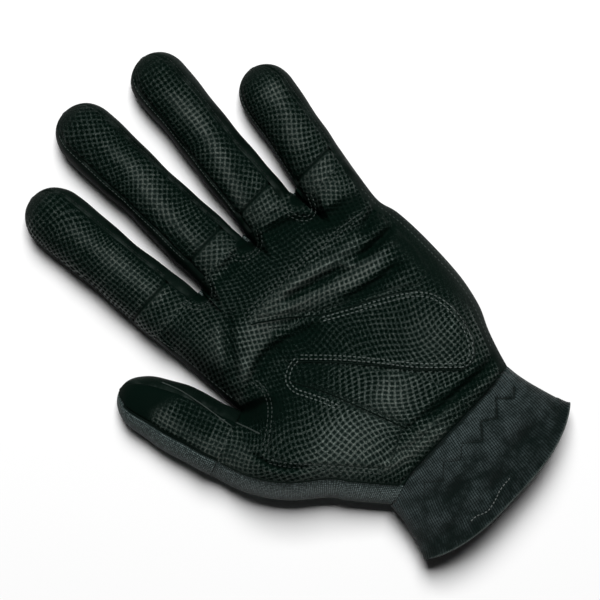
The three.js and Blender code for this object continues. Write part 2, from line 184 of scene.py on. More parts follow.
def close_by(points: Array, line: Array, margin: float) -> Array:
    """Tell which plan points lie within a margin of the box round a line."""
    return np.all((points > line.min(axis=0) - margin) & (points < line.max(axis=0) + margin), axis=1)


def nearest(points: Array, line: Array) -> tuple[Array, Array, Array]:
    """Find the nearest place on a line for each point.

    Args:
        points: Plan points, one row each.
        line: Corners of the line, one row each.

    Returns:
        The distances, the shares of the line's run and the nearest places.
    """
    lengths = np.linalg.norm(np.diff(line, axis=0), axis=1)
    run = np.concatenate([[0.0], np.cumsum(lengths)])
    least = np.full(len(points), np.inf)
    along = np.zeros(len(points))
    place = np.zeros((len(points), 2))
    for start, end, length, before in zip(line, line[1:], lengths, run):
        way = (end - start) / max(length, TINY)
        reach = np.clip((points - start) @ way, 0.0, length)
        spot = start + reach[:, None] * way
        distance = np.linalg.norm(points - spot, axis=1)
        closer = distance < least
        least[closer] = distance[closer]
        along[closer] = (before + reach[closer]) / run[-1]
        place[closer] = spot[closer]
    return least, along, place


def inside(points: Array, outline: Array) -> Array:
    """Tell which plan points lie inside a closed outline."""
    x, y = points[:, 0], points[:, 1]
    within = np.zeros(len(points), dtype=bool)
    for (ax, ay), (bx, by) in zip(outline, np.roll(outline, -1, axis=0)):
        if ay == by:
            continue
        crosses = (ay > y) != (by > y)
        within ^= crosses & (x < ax + (bx - ax) * (y - ay) / (by - ay))
    return within


def beside(line: Array, distance: float) -> Array:
    """Move a line sideways, to the left of its run where the distance is positive."""
    way = np.gradient(line, axis=0)
    way /= np.maximum(np.linalg.norm(way, axis=1, keepdims=True), TINY)
    return line + distance * np.column_stack([-way[:, 1], way[:, 0]])


def closed(outline: Array) -> Array:
    """Repeat an outline's first corner at its end."""
    return np.vstack([outline, outline[:1]])


def dimples(p: Array, q: Array) -> Array:
    """Mask of the square dimples pressed into the leather.

    Args:
        p: Place along one lattice direction, in pitches.
        q: Place along the other lattice direction, in pitches.

    Returns:
        1 at the bottom of a dimple and 0 on the ridges.
    """
    across = 0.5 - 0.5 * np.cos(2 * math.pi * p)
    along = 0.5 - 0.5 * np.cos(2 * math.pi * q)
    return across * along


def grain(points: Array, pitch: float) -> Array:
    """Lay a square lattice of dimples, turned to the way that the leather was cut.

    Args:
        points: Plan points.
        pitch: Distance between dimples.

    Returns:
        The place along both lattice directions at each point, in pitches.
    """
    turn = math.radians(CUT_TURN)
    x, y = points.T
    across = x * math.cos(turn) + y * math.sin(turn)
    along = y * math.cos(turn) - x * math.sin(turn)
    return np.column_stack([across, along]) / pitch


def wander(x: Array, y: Array) -> tuple[Array, Array]:
    """Slow drift of a dimple lattice, as leather stretches when it is sewn.

    Args:
        x: Places across the panel.
        y: Places along the panel.

    Returns:
        The drift across and along.
    """
    across = 0.9 * np.sin(y / 11.0 + 0.4 * np.sin(x / 9.0)) + 0.4 * np.sin(x / 7.0 + y / 19.0)
    along = 0.9 * np.sin(x / 12.0 + 1.3 + 0.5 * np.sin(y / 10.0)) + 0.4 * np.sin(y / 8.0 - x / 21.0)
    return across, along


@dataclass(frozen=True)
class Whirl:
    """A turn of the dimple lattice about one place of the palm, as the leather creeps in use."""

    place: Pair
    radius: float
    turn: float

    def move(self, points: Array) -> Array:
        """Turn plan points about the place, less and less further out."""
        arm = points - np.array(self.place)
        angle = math.radians(self.turn) * np.exp(-np.sum(arm**2, axis=1) / self.radius**2)
        cos, sin = np.cos(angle), np.sin(angle)
        turned = np.column_stack([arm[:, 0] * cos - arm[:, 1] * sin, arm[:, 0] * sin + arm[:, 1] * cos])
        return np.array(self.place) + turned


@dataclass(frozen=True)
class HandFrame:
    """Takes hand-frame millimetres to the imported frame's metres, by a plan shift."""

    shift: Pair

    @classmethod
    def from_knuckle(cls, joints: list[dict], name: str, knuckle: Pair) -> HandFrame:
        """Read the shift from a knuckle joint whose hand-frame place is known."""
        place = next(joint["pos_m"] for joint in joints if joint["name"] == name)
        return cls((place[0] / MM - knuckle[0], place[1] / MM - knuckle[1]))

    def metres(self, points: Array) -> Array:
        """Turn hand-frame points into packed metres."""
        return (np.asarray(points, dtype=float) + np.array([*self.shift, 0.0])) * MM

    def spot(self, x: float, y: float, z: float) -> tuple[float, float, float]:
        """Turn one hand-frame point into packed metres."""
        return tuple(float(value) for value in self.metres(np.array([x, y, z])))


# Finishes


class Graph:
    """Builds the node tree of one material."""

    def __init__(self, name: str) -> None:
        """Start an empty material with this name."""
        self.material = bpy.data.materials.new(name)
        self.material.use_nodes = True
        self.tree = self.material.node_tree
        self.tree.nodes.clear()

    def add(self, kind: str, inputs: Inputs | None = None, **settings: object) -> bpy.types.Node:
        """Add a node.

        Args:
            kind: Node type.
            inputs: Values or sockets for its inputs, by name or number.
            settings: Properties of the node itself.

        Returns:
            The new node.
        """
        node = self.tree.nodes.new(kind)
        for key, value in settings.items():
            setattr(node, key, value)
        for key, value in (inputs or {}).items():
            if isinstance(value, Socket):
                self.tree.links.new(value, node.inputs[key])
            else:
                node.inputs[key].default_value = value
        return node

    def math(self, operation: str, *values: object) -> Socket:
        """Add a Math node and give its result."""
        node = self.add("ShaderNodeMath", dict(enumerate(values)), operation=operation)
        return node.outputs[0]

    def ramp(self, value: object, low: float, high: float, start: float, end: float) -> Socket:
        """Ease a value from start to end while it goes from low to high."""
        inputs = {0: value, 1: low, 2: high, 3: start, 4: end}
        node = self.add("ShaderNodeMapRange", inputs, interpolation_type="SMOOTHSTEP")
        return node.outputs[0]

    def mix(self, share: object, start: object, end: object) -> Socket:
        """Mix two colours by a share."""
        inputs = {0: share, 6: start, 7: end}
        return self.add("ShaderNodeMix", inputs, data_type="RGBA").outputs[2]

    def noise(self, scale: float, detail: float = 3.0, roughness: float = 0.55) -> Socket:
        """Add noise in the object's own space, scale in bumps a metre."""
        place = self.add("ShaderNodeTexCoord").outputs["Object"]
        inputs = {"Vector": place, "Scale": scale, "Detail": detail, "Roughness": roughness}
        return self.add("ShaderNodeTexNoise", inputs).outputs[0]

    def arches(self, value: object) -> Socket:
        """Rise and fall once over each whole step of a value."""
        return self.math("ABSOLUTE", self.math("SINE", self.math("MULTIPLY", value, math.pi)))

    def attribute(self, name: str) -> Socket:
        """Read a number painted on the piece."""
        return self.add("ShaderNodeAttribute", attribute_name=name).outputs["Fac"]

    def cells(self) -> tuple[Socket, Socket]:
        """Read the two pattern coordinates of the piece's own map."""
        place = self.add("ShaderNodeUVMap", uv_map="UVMap").outputs[0]
        parts = self.add("ShaderNodeSeparateXYZ", {0: place})
        return parts.outputs[0], parts.outputs[1]

    def bump(self, height: object, distance: float, strength: float) -> Socket:
        """Turn a height into a bent normal, distance in metres."""
        inputs = {"Height": height, "Distance": distance, "Strength": strength}
        return self.add("ShaderNodeBump", inputs).outputs[0]

    def blend(self, share: object, first: Inputs, second: Inputs) -> Material:
        """Close the material with a mix of two Principled surfaces, the second by a share."""
        surfaces = [self.add("ShaderNodeBsdfPrincipled", inputs).outputs[0] for inputs in (first, second)]
        mixed = self.add("ShaderNodeMixShader", {0: share, 1: surfaces[0], 2: surfaces[1]})
        self.add("ShaderNodeOutputMaterial", {0: mixed.outputs[0]})
        return self.material

    def surface(self, inputs: Inputs) -> Material:
        """Close the material with a Principled surface."""
        shader = self.add("ShaderNodeBsdfPrincipled", inputs)
        self.add("ShaderNodeOutputMaterial", {0: shader.outputs[0]})
        return self.material


@dataclass(frozen=True)
class DimpledLeather:
    """Black leather with a pressed lattice of square dimples."""

    name: str = "dimpled_leather_finish"
    # The colours from faded through ridge to rubbed follow the painted light and wear: faded is painted
    # shade, and rubbed is painted highlight with polished wear. dimple is darkened as painted shade in the
    # dimples, and dusty is the dimple under painted highlight.
    rubbed: Colour = (0.0645, 0.0755, 0.067, 1.0)
    ridge: Colour = (0.0083, 0.0146, 0.0122, 1.0)
    dull_and_shaded: Colour = (0.0010, 0.0042, 0.0028, 1.0)
    dimple: Colour = (0.0009, 0.0036, 0.0024, 1.0)
    lit_dimple: Colour = (0.0072, 0.0120, 0.0102, 1.0)
    plain: Colour = (0.0011, 0.0042, 0.0029, 1.0)
    worn: Colour = (0.017, 0.024, 0.021, 1.0)
    ridge_sharpness: float = 2.6
    crossing_glint: float = 0.34

    def build(self) -> Material:
        """Make the leather's material."""
        graph = Graph(self.name)
        drift = graph.math("MULTIPLY", graph.math("SUBTRACT", graph.noise(420.0), 0.5), 0.22)
        lines = []
        for cell in graph.cells():
            wave = graph.math("COSINE", graph.math("MULTIPLY", graph.math("ADD", cell, drift), math.pi))
            lines.append(graph.math("MULTIPLY", wave, wave))
        ridge = graph.math("POWER", graph.math("MAXIMUM", *lines), self.ridge_sharpness)
        crossing = graph.math("MULTIPLY", *lines)
        bare = graph.attribute("bare")
        dimpled = graph.math("SUBTRACT", 1.0, bare)
        hole = graph.math("MULTIPLY", graph.ramp(ridge, 0.05, 0.72, 1.0, 0.0), dimpled)
        patchy = graph.ramp(graph.noise(60.0, 4.0), 0.30, 0.70, -0.12, 0.12)
        speckle = graph.ramp(graph.noise(1700.0, 2.0, 0.7), 0.36, 0.74, -0.50, 0.70)
        # Painted light and wear read from the piece, with random tone: painted highlight where high, painted
        # shade where low.
        rubbed = graph.math("ADD", graph.attribute("light_and_wear"), graph.math("ADD", patchy, speckle))
        # Painted glints on the crossings of the ridges.
        crossing_glints = graph.math("MULTIPLY", graph.math("SUBTRACT", crossing, 0.25), self.crossing_glint)
        rubbed = graph.math("ADD", rubbed, graph.math("MULTIPLY", crossing_glints, dimpled))
        colour = graph.mix(graph.ramp(rubbed, 0.0, 0.5, 0.0, 1.0), self.dull_and_shaded, self.ridge)
        colour = graph.mix(graph.ramp(rubbed, 0.45, 1.5, 0.0, 1.0), colour, self.rubbed)
        scuffs = graph.ramp(graph.noise(160.0), 0.4, 0.7, 0.0, 0.3)
        frayed = graph.math("MULTIPLY", graph.attribute("wear"), scuffs)
        colour = graph.mix(frayed, colour, self.worn)
        colour = graph.mix(bare, colour, self.plain)
        grain = graph.noise(2600.0, 4.0, 0.6)
        rough = graph.ramp(rubbed, 0.1, 0.9, 0.48, 0.32)
        rough = graph.math("ADD", rough, graph.ramp(grain, 0.3, 0.7, -0.05, 0.08))
        rough = graph.math("ADD", rough, graph.math("MULTIPLY", bare, 0.26))
        height = graph.math("ADD", graph.math("MULTIPLY", hole, -1.0), graph.math("MULTIPLY", grain, 0.35))
        normal = graph.bump(height, 0.00022, 0.6)
        shiny = {
            "Base Color": colour,
            "Roughness": rough,
            "Specular IOR Level": 0.30,
            "Specular Tint": (0.80, 1.0, 0.91, 1.0),
            "Normal": normal,
        }
        # Dimples darker as painted shade, and lighter under the painted highlight.
        dimple_light_and_shade = graph.mix(graph.ramp(graph.attribute("light_and_wear"), 0.40, 0.90, 0.0, 1.0), self.dimple, self.lit_dimple)
        dimple_light_and_shade = graph.mix(bare, dimple_light_and_shade, self.dimple)
        dull = {"Base Color": dimple_light_and_shade, "Roughness": 0.9, "Specular IOR Level": 0.04, "Normal": normal}
        # The dull dark surface takes over as painted shade where the painted light is low, and on plain
        # leather.
        dull_shade_share = graph.ramp(rubbed, -0.1, 0.36, 0.8, 0.0)
        dull_shade_share = graph.math("MAXIMUM", graph.math("MULTIPLY", bare, 0.8), dull_shade_share)
        return graph.blend(graph.math("MAXIMUM", hole, dull_shade_share), shiny, dull)


@dataclass(frozen=True)
class SmoothLeather:
    """Plain black leather of the side walls, creased and lightly rubbed."""

    name: str = "smooth_leather_finish"
    dark: Colour = (0.0010, 0.0032, 0.0022, 1.0)
    light: Colour = (0.0032, 0.0068, 0.0052, 1.0)
    worn: Colour = (0.016, 0.022, 0.0195, 1.0)

    def build(self) -> Material:
        """Make the plain leather's material."""
        graph = Graph(self.name)
        patchy = graph.ramp(graph.noise(70.0, 4.0), 0.35, 0.68, 0.0, 1.0)
        colour = graph.mix(patchy, self.dark, self.light)
        scuffs = graph.ramp(graph.noise(240.0), 0.42, 0.7, 0.0, 0.8)
        rubbed = graph.math("MULTIPLY", graph.attribute("wear"), scuffs)
        colour = graph.mix(rubbed, colour, self.worn)
        pebble = graph.noise(1500.0, 5.0, 0.62)
        crease = graph.noise(300.0, 2.0)
        height = graph.math("ADD", pebble, graph.math("MULTIPLY", crease, 1.6))
        return graph.surface(
            {
                "Base Color": colour,
                "Roughness": graph.ramp(pebble, 0.3, 0.7, 0.58, 0.78),
                "Specular IOR Level": 0.10,
                "Specular Tint": (0.80, 1.0, 0.91, 1.0),
                "Normal": graph.bump(height, 0.0002, 0.55),
            }
        )


@dataclass(frozen=True)
class StretchFabric:
    """Fine grey knit of the back, seen beside the leather at the thumb."""

    name: str = "stretch_fabric_finish"
    valley: Colour = (0.0095, 0.0175, 0.0160, 1.0)
    loop: Colour = (0.185, 0.232, 0.228, 1.0)
    dull_and_shaded: Colour = (0.0135, 0.0225, 0.0210, 1.0)

    def build(self) -> Material:
        """Make the knit's material."""
        graph = Graph(self.name)
        p, q = graph.cells()
        wale = graph.arches(p)
        stagger = graph.math("MULTIPLY", graph.math("SUBTRACT", wale, 0.5), 0.9)
        course = graph.math("ADD", graph.math("MULTIPLY", q, math.pi), stagger)
        loops = graph.math("MULTIPLY", wale, graph.math("ABSOLUTE", graph.math("SINE", course)))
        fuzz = graph.noise(3200.0, 3.0, 0.7)
        lit = graph.ramp(graph.math("ADD", loops, graph.math("MULTIPLY", fuzz, 0.35)), 0.25, 1.0, 0.0, 1.0)
        patchy = graph.ramp(graph.noise(1100.0, 4.0, 0.75), 0.34, 0.66, -0.50, 0.50)
        # Painted light and wear from the piece: painted highlight where high, painted shade where low.
        rubbed = graph.ramp(graph.math("ADD", graph.attribute("light_and_wear"), patchy), 0.0, 1.25, 0.0, 1.0)
        colour = graph.mix(lit, self.valley, graph.mix(rubbed, self.dull_and_shaded, self.loop))
        return graph.surface(
            {
                "Base Color": colour,
                "Roughness": graph.ramp(fuzz, 0.2, 0.8, 0.70, 0.92),
                "Specular IOR Level": 0.25,
                "Sheen Weight": 0.06,
                "Sheen Roughness": 0.45,
                "Normal": graph.bump(lit, 0.00022, 0.7),
            }
        )


@dataclass(frozen=True)
class RibbedFabric:
    """Dark twill of the cuff, with fine slanting ribs."""

    name: str = "ribbed_fabric_finish"
    groove: Colour = (0.0008, 0.0034, 0.0028, 1.0)
    rib: Colour = (0.046, 0.062, 0.063, 1.0)
    dull_and_shaded: Colour = (0.0014, 0.0048, 0.0040, 1.0)

    def build(self) -> Material:
        """Make the twill's material."""
        graph = Graph(self.name)
        p, q = graph.cells()
        waver = graph.math("MULTIPLY", graph.noise(140.0), 0.6)
        ribs = graph.arches(graph.math("ADD", p, waver))
        weave = graph.math("MULTIPLY", ribs, graph.ramp(graph.arches(q), 0.0, 0.6, 0.44, 0.8))
        fuzz = graph.noise(3600.0, 3.0, 0.7)
        lit = graph.ramp(graph.math("ADD", weave, graph.math("MULTIPLY", fuzz, 0.65)), 0.35, 1.15, 0.0, 1.0)
        patchy = graph.ramp(graph.noise(210.0, 5.0, 0.68), 0.30, 0.70, -0.24, 0.24)
        # Painted light and wear from the piece: painted highlight where high, painted shade where low.
        rubbed = graph.ramp(graph.math("ADD", graph.attribute("light_and_wear"), patchy), 0.0, 1.15, 0.0, 1.0)
        colour = graph.mix(lit, self.groove, graph.mix(rubbed, self.dull_and_shaded, self.rib))
        return graph.surface(
            {
                "Base Color": colour,
                "Roughness": graph.ramp(fuzz, 0.2, 0.8, 0.66, 0.9),
                "Specular IOR Level": 0.15,
                "Sheen Weight": 0.08,
                "Sheen Roughness": 0.5,
                "Normal": graph.bump(lit, 0.00025, 0.8),
            }
        )


@dataclass(frozen=True)
class Thread:
    """Twisted sewing thread."""

    name: str
    dark: Colour
    light: Colour

    def build(self) -> Material:
        """Make the thread's material."""
        graph = Graph(self.name)
        twist = graph.noise(2400.0, 2.0)
        colour = graph.mix(graph.ramp(twist, 0.35, 0.65, 0.0, 1.0), self.dark, self.light)
        return graph.surface(
            {
                "Base Color": colour,
                "Roughness": graph.ramp(twist, 0.3, 0.7, 0.5, 0.75),
                "Specular IOR Level": 0.35,
                "Normal": graph.bump(twist, 0.0001, 0.6),
            }
        )


@dataclass(frozen=True)
class WhiteFloor:
    """Pale floor that keeps the glove's shadow."""

    name: str = "floor_finish"
    glow: float = 0.002
    colour: Colour = (0.98, 0.98, 0.98, 1.0)

    def build(self) -> Material:
        """Make the floor's material."""
        graph = Graph(self.name)
        rays = graph.add("ShaderNodeLightPath")
        seen = graph.math("MAXIMUM", rays.outputs["Is Camera Ray"], rays.outputs["Is Glossy Ray"])
        seen = graph.math("MAXIMUM", seen, rays.outputs["Is Transmission Ray"])
        return graph.surface(
            {
                "Base Color": self.colour,
                "Roughness": 0.9,
                "Specular IOR Level": 0.0,
                "Emission Color": (1.0, 1.0, 1.0, 1.0),
                "Emission Strength": graph.math("MULTIPLY", seen, self.glow),
            }
        )


class Finishes:
    """The materials of the glove, each built once."""

    def __init__(self) -> None:
        """Build every finish."""
        self.dimpled = DimpledLeather().build()
        self.smooth = SmoothLeather().build()
        self.stretch = StretchFabric().build()
        self.ribbed = RibbedFabric().build()
        self.leather_thread = Thread(
            "leather_thread_finish", (0.040, 0.051, 0.047, 1.0), (0.112, 0.135, 0.126, 1.0)
        ).build()
        self.dark_thread = Thread(
            "dark_thread_finish", (0.0020, 0.0035, 0.0030, 1.0), (0.008, 0.011, 0.010, 1.0)
        ).build()
        self.side_thread = Thread(
            "side_thread_finish", (0.014, 0.020, 0.0175, 1.0), (0.048, 0.060, 0.055, 1.0)
        ).build()
        self.pale_thread = Thread(
            "pale_thread_finish", (0.046, 0.054, 0.052, 1.0), (0.108, 0.12, 0.116, 1.0)
        ).build()
        self.elastic = Thread(
            "elastic_finish", (0.010, 0.013, 0.012, 1.0), (0.030, 0.036, 0.034, 1.0)
        ).build()
        self.floor = WhiteFloor().build()


# Mesh making


@dataclass(frozen=True)
class Bend:
    """How a flexible piece crosses a joint.

    Attributes:
        before: Body that the piece follows before start.
        after: Body that it follows after end.
        start: Hand-frame place where the turn starts.
        end: Hand-frame place where the turn ends.
    """

    before: str
    after: str
    start: tuple[float, float, float]
    end: tuple[float, float, float]


class Workshop:
    """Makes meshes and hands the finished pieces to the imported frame."""

    def __init__(self, hand: HandFrame) -> None:
        """Keep the hand frame that places every piece."""
        self.hand = hand
        self.count = 0

    @staticmethod
    def deselect() -> None:
        """Clear the selection, so that an operator acts on the new piece alone."""
        bpy.ops.object.select_all(action="DESELECT")

    @staticmethod
    def take(piece: bpy.types.Object) -> None:
        """Make one piece the selected and active object."""
        Workshop.deselect()
        piece.select_set(True)
        bpy.context.view_layer.objects.active = piece

    def carry(self, piece: bpy.types.Object, slot: Slot, motion: str | Bend, nodes: Sequence[str]) -> None:
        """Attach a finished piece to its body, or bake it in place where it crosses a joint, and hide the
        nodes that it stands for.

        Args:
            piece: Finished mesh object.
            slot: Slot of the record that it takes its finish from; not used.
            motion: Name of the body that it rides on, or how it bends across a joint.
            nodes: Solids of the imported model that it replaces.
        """
        if isinstance(motion, Bend):
            start = self.hand.spot(*motion.start)
            end = self.hand.spot(*motion.end)
            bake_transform(piece)
        else:
            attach(piece, motion)
        if nodes:
            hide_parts(*nodes)
        self.count += 1
        log.info("%s: %d vertices", piece.name, len(piece.data.vertices))


class Panel:
    """A grid primitive that is cut, shaped and thickened into one panel."""

    SMOOTH_ANGLE = 55.0

    def __init__(self, shop: Workshop, name: str, columns: int, rows: int) -> None:
        """Add the grid.

        Args:
            shop: Workshop that the panel is made in.
            name: Name of the piece.
            columns: Faces across the grid.
            rows: Faces along the grid.
        """
        self.shop = shop
        shop.deselect()
        bpy.ops.mesh.primitive_grid_add(x_subdivisions=columns, y_subdivisions=rows, size=2.0)
        self.piece = bpy.context.object
        self.piece.name = name
        self.mesh = self.piece.data
        self.mesh.name = name

    def spots(self) -> Array:
        """Read where the grid's vertices are, each way from 0 to 1."""
        flat = np.empty(len(self.mesh.vertices) * 3)
        self.mesh.vertices.foreach_get("co", flat)
        return (flat.reshape(-1, 3)[:, :2] + 1.0) / 2.0

    def corners(self) -> Array:
        """Read the vertices of every face of the grid, one row of four each."""
        flat = np.empty(len(self.mesh.loops), dtype=np.int32)
        self.mesh.loops.foreach_get("vertex_index", flat)
        return flat.reshape(-1, 4)

    def cut(self, keep: Callable[[Array], Array]) -> None:
        """Delete the faces whose middles are not kept.

        Args:
            keep: Tells which grid places stay.
        """
        middles = self.spots()[self.corners()].mean(axis=1)
        self.mesh.vertices.foreach_set("select", np.zeros(len(self.mesh.vertices), dtype=bool))
        self.mesh.edges.foreach_set("select", np.zeros(len(self.mesh.edges), dtype=bool))
        self.mesh.polygons.foreach_set("select", ~keep(middles))
        self.shop.take(self.piece)
        bpy.ops.object.mode_set(mode="EDIT")
        bpy.ops.mesh.select_mode(type="FACE")
        bpy.ops.mesh.delete(type="FACE")
        bpy.ops.object.mode_set(mode="OBJECT")

    def rim(self) -> Array:
        """Find the vertices on the open edges of the panel."""
        edges = np.empty(len(self.mesh.loops), dtype=np.int32)
        self.mesh.loops.foreach_get("edge_index", edges)
        uses = np.bincount(edges, minlength=len(self.mesh.edges))
        ends = np.empty(len(self.mesh.edges) * 2, dtype=np.int32)
        self.mesh.edges.foreach_get("vertices", ends)
        return np.unique(ends.reshape(-1, 2)[uses == 1])

    def shape(self, points: Array, outward: Array) -> None:
        """Move the vertices to their places and turn the faces outwards.

        Args:
            points: Hand-frame place of each vertex.
            outward: Direction away from the hand at each vertex.
        """
        self.mesh.vertices.foreach_set("co", self.shop.hand.metres(points).ravel())
        self.mesh.update()
        normals = np.empty(len(self.mesh.polygons) * 3)
        self.mesh.polygons.foreach_get("normal", normals)
        firsts = self.corners()[:, 0]
        if float(np.sum(normals.reshape(-1, 3) * outward[firsts])) < 0.0:
            self.shop.take(self.piece)
            bpy.ops.object.mode_set(mode="EDIT")
            bpy.ops.mesh.select_all(action="SELECT")
            bpy.ops.mesh.flip_normals()
            bpy.ops.object.mode_set(mode="OBJECT")

    def drape(self, plan: Array, height: Array, side: Facing) -> None:
        """Lay the panel at heights over its plan, with the given side out."""
        self.shape(np.column_stack([plan, height]), np.tile([0.0, 0.0, side.value], (len(plan), 1)))

    def map(self, cells: Array) -> None:
        """Write the pattern coordinates of each vertex to the piece's own map."""
        order = np.empty(len(self.mesh.loops), dtype=np.int32)
        self.mesh.loops.foreach_get("vertex_index", order)
        self.mesh.uv_layers.active.data.foreach_set("uv", cells[order].ravel())

    def paint(self, name: str, values: Array) -> None:
        """Paint a number on each vertex, for the material to read."""
        layer = self.mesh.attributes.new(name, "FLOAT", "POINT")
        layer.data.foreach_set("value", np.ascontiguousarray(values, dtype=np.float32))

    def finish(self, wall: float, material: Material) -> bpy.types.Object:
        """Give the panel its thickness, smooth shading and finish.

        Args:
            wall: Thickness, inwards from the shaped side.
            material: Finish of the panel.

        Returns:
            The finished piece.
        """
        self.shop.take(self.piece)
        solid = self.piece.modifiers.new("wall", "SOLIDIFY")
        solid.thickness = wall * MM
        solid.offset = -1.0
        bpy.ops.object.modifier_apply(modifier=solid.name)
        bpy.ops.object.shade_smooth_by_angle(angle=math.radians(self.SMOOTH_ANGLE))
        self.mesh.materials.clear()
        self.mesh.materials.append(material)
        return self.piece


@dataclass(frozen=True)
class StitchStyle:
    """Sizes of one kind of stitching."""

    pitch: float = 2.0
    length: float = 1.35
    width: float = 0.52
    height: float = 0.45


class Stitcher:
    """Lays rows of stitches on a surface."""

    SIDES = 6
    RINGS = 4
    HALF_STEP = 0.4

    def __init__(self, shop: Workshop) -> None:
        """Model one stitch, whose copies make every row."""
        self.shop = shop
        shop.deselect()
        bpy.ops.mesh.primitive_uv_sphere_add(segments=self.SIDES, ring_count=self.RINGS, radius=0.5)
        bpy.ops.object.mode_set(mode="EDIT")
        bpy.ops.mesh.select_all(action="SELECT")
        bpy.ops.transform.rotate(value=math.radians(90.0), orient_axis="Y", center_override=(0.0, 0.0, 0.0))
        bpy.ops.object.mode_set(mode="OBJECT")
        model = bpy.context.object
        flat = np.empty(len(model.data.vertices) * 3)
        model.data.vertices.foreach_get("co", flat)
        self.points = flat.reshape(-1, 3)
        self.faces = [tuple(face.vertices) for face in model.data.polygons]
        bpy.ops.object.delete()

    @staticmethod
    def spot(line: Array, run: Array, place: float) -> Array:
        """Find the point, or direction, of a line at a distance along it."""
        return np.array([np.interp(place, run, line[:, k]) for k in range(3)])

    def row(
        self,
        name: str,
        paths: Sequence[Array],
        lifts: Sequence[Array],
        style: StitchStyle,
        material: Material,
    ) -> bpy.types.Object:
        """Copy the stitch along one or more lines.

        Args:
            name: Name of the piece.
            paths: Lines of hand-frame points that the stitches follow.
            lifts: Direction away from the surface at each point of each line.
            style: Sizes of the stitching.
            material: Finish of the thread.

        Returns:
            The finished row.
        """
        points: list[Array] = []
        faces: list[tuple[int, ...]] = []
        size = np.array([style.length, style.width, style.height])
        for path, lift in zip(paths, lifts):
            run = run_along(path)
            for middle in np.arange(style.pitch / 2, run[-1], style.pitch):
                ends = [self.spot(path, run, middle + step) for step in (-self.HALF_STEP, self.HALF_STEP)]
                way = (ends[1] - ends[0]) / max(float(np.linalg.norm(ends[1] - ends[0])), TINY)
                up = self.spot(lift, run, middle)
                side = np.cross(up, way)
                side /= max(float(np.linalg.norm(side)), TINY)
                frame = np.vstack([way, side, np.cross(way, side)])
                first = sum(len(block) for block in points)
                points.append((self.points * size) @ frame + (ends[0] + ends[1]) / 2)
                faces += [tuple(first + k for k in face) for face in self.faces]
        mesh = bpy.data.meshes.new(name)
        mesh.from_pydata(self.shop.hand.metres(np.vstack(points)).tolist(), [], faces)
        mesh.materials.append(material)
        piece = bpy.data.objects.new(name, mesh)
        bpy.context.scene.collection.objects.link(piece)
        self.shop.take(piece)
        bpy.ops.object.shade_smooth()
        return piece


class Maker:
    """Makes one part of the glove."""

    def __init__(self, shop: Workshop, stitcher: Stitcher, finishes: Finishes) -> None:
        """Keep what the part is made with."""
        self.shop = shop
        self.stitcher = stitcher
        self.finishes = finishes


# Wear of the leather


@dataclass(frozen=True)
class Swell:
    """A soft swell, or a hollow where the height is negative; on a finish, a patch of painted highlight and
    wear, or of painted shade where the height is negative.
    """

    place: Pair
    size: Pair
    height: float

    def rise(self, x: Array, y: Array) -> Array:
        """Height that the swell adds at plan places."""
        reach = ((x - self.place[0]) / self.size[0]) ** 2 + ((y - self.place[1]) / self.size[1]) ** 2
        return self.height * np.exp(-reach)


@dataclass(frozen=True)
class LightStreak:
    """A streak of painted highlight and polished wear, or of painted shade where the amount is negative."""

    line: Plan
    width: float
    amount: float


# Patches of painted highlight and wear on the leather, and of painted shade where the height is negative.
LIGHT_PATCHES = (
    Swell((-34.0, 57.0), (19.0, 13.0), 0.60),
    Swell((-4.0, 58.0), (9.0, 9.0), 0.40),
    Swell((24.0, 62.0), (13.0, 14.0), 0.26),
    Swell((-37.0, 89.0), (16.0, 8.5), -0.58),
    Swell((-12.0, 94.0), (19.0, 9.0), -0.42),
    Swell((4.0, 135.0), (30.0, 7.0), -0.26),
    Swell((-50.0, 103.0), (4.0, 3.5), 0.6),
    Swell((-65.0, 88.0), (7.0, 9.0), 0.34),
    Swell((47.0, 88.0), (8.0, 30.0), -0.5),
    Swell((-46.0, 138.0), (9.0, 12.0), 0.12),
    Swell((-45.0, 153.0), (11.0, 4.5), -0.16),
    Swell((-13.0, 147.0), (9.0, 3.0), 0.3),
    Swell((15.0, 146.5), (9.0, 3.5), 0.34),
    Swell((40.0, 137.0), (7.0, 9.0), 0.46),
    Swell((55.0, 182.0), (6.0, 5.5), 0.6),
    Swell((-54.0, 216.0), (5.0, 5.0), 0.22),
    Swell((-18.0, 231.0), (4.0, 4.0), 0.25),
)
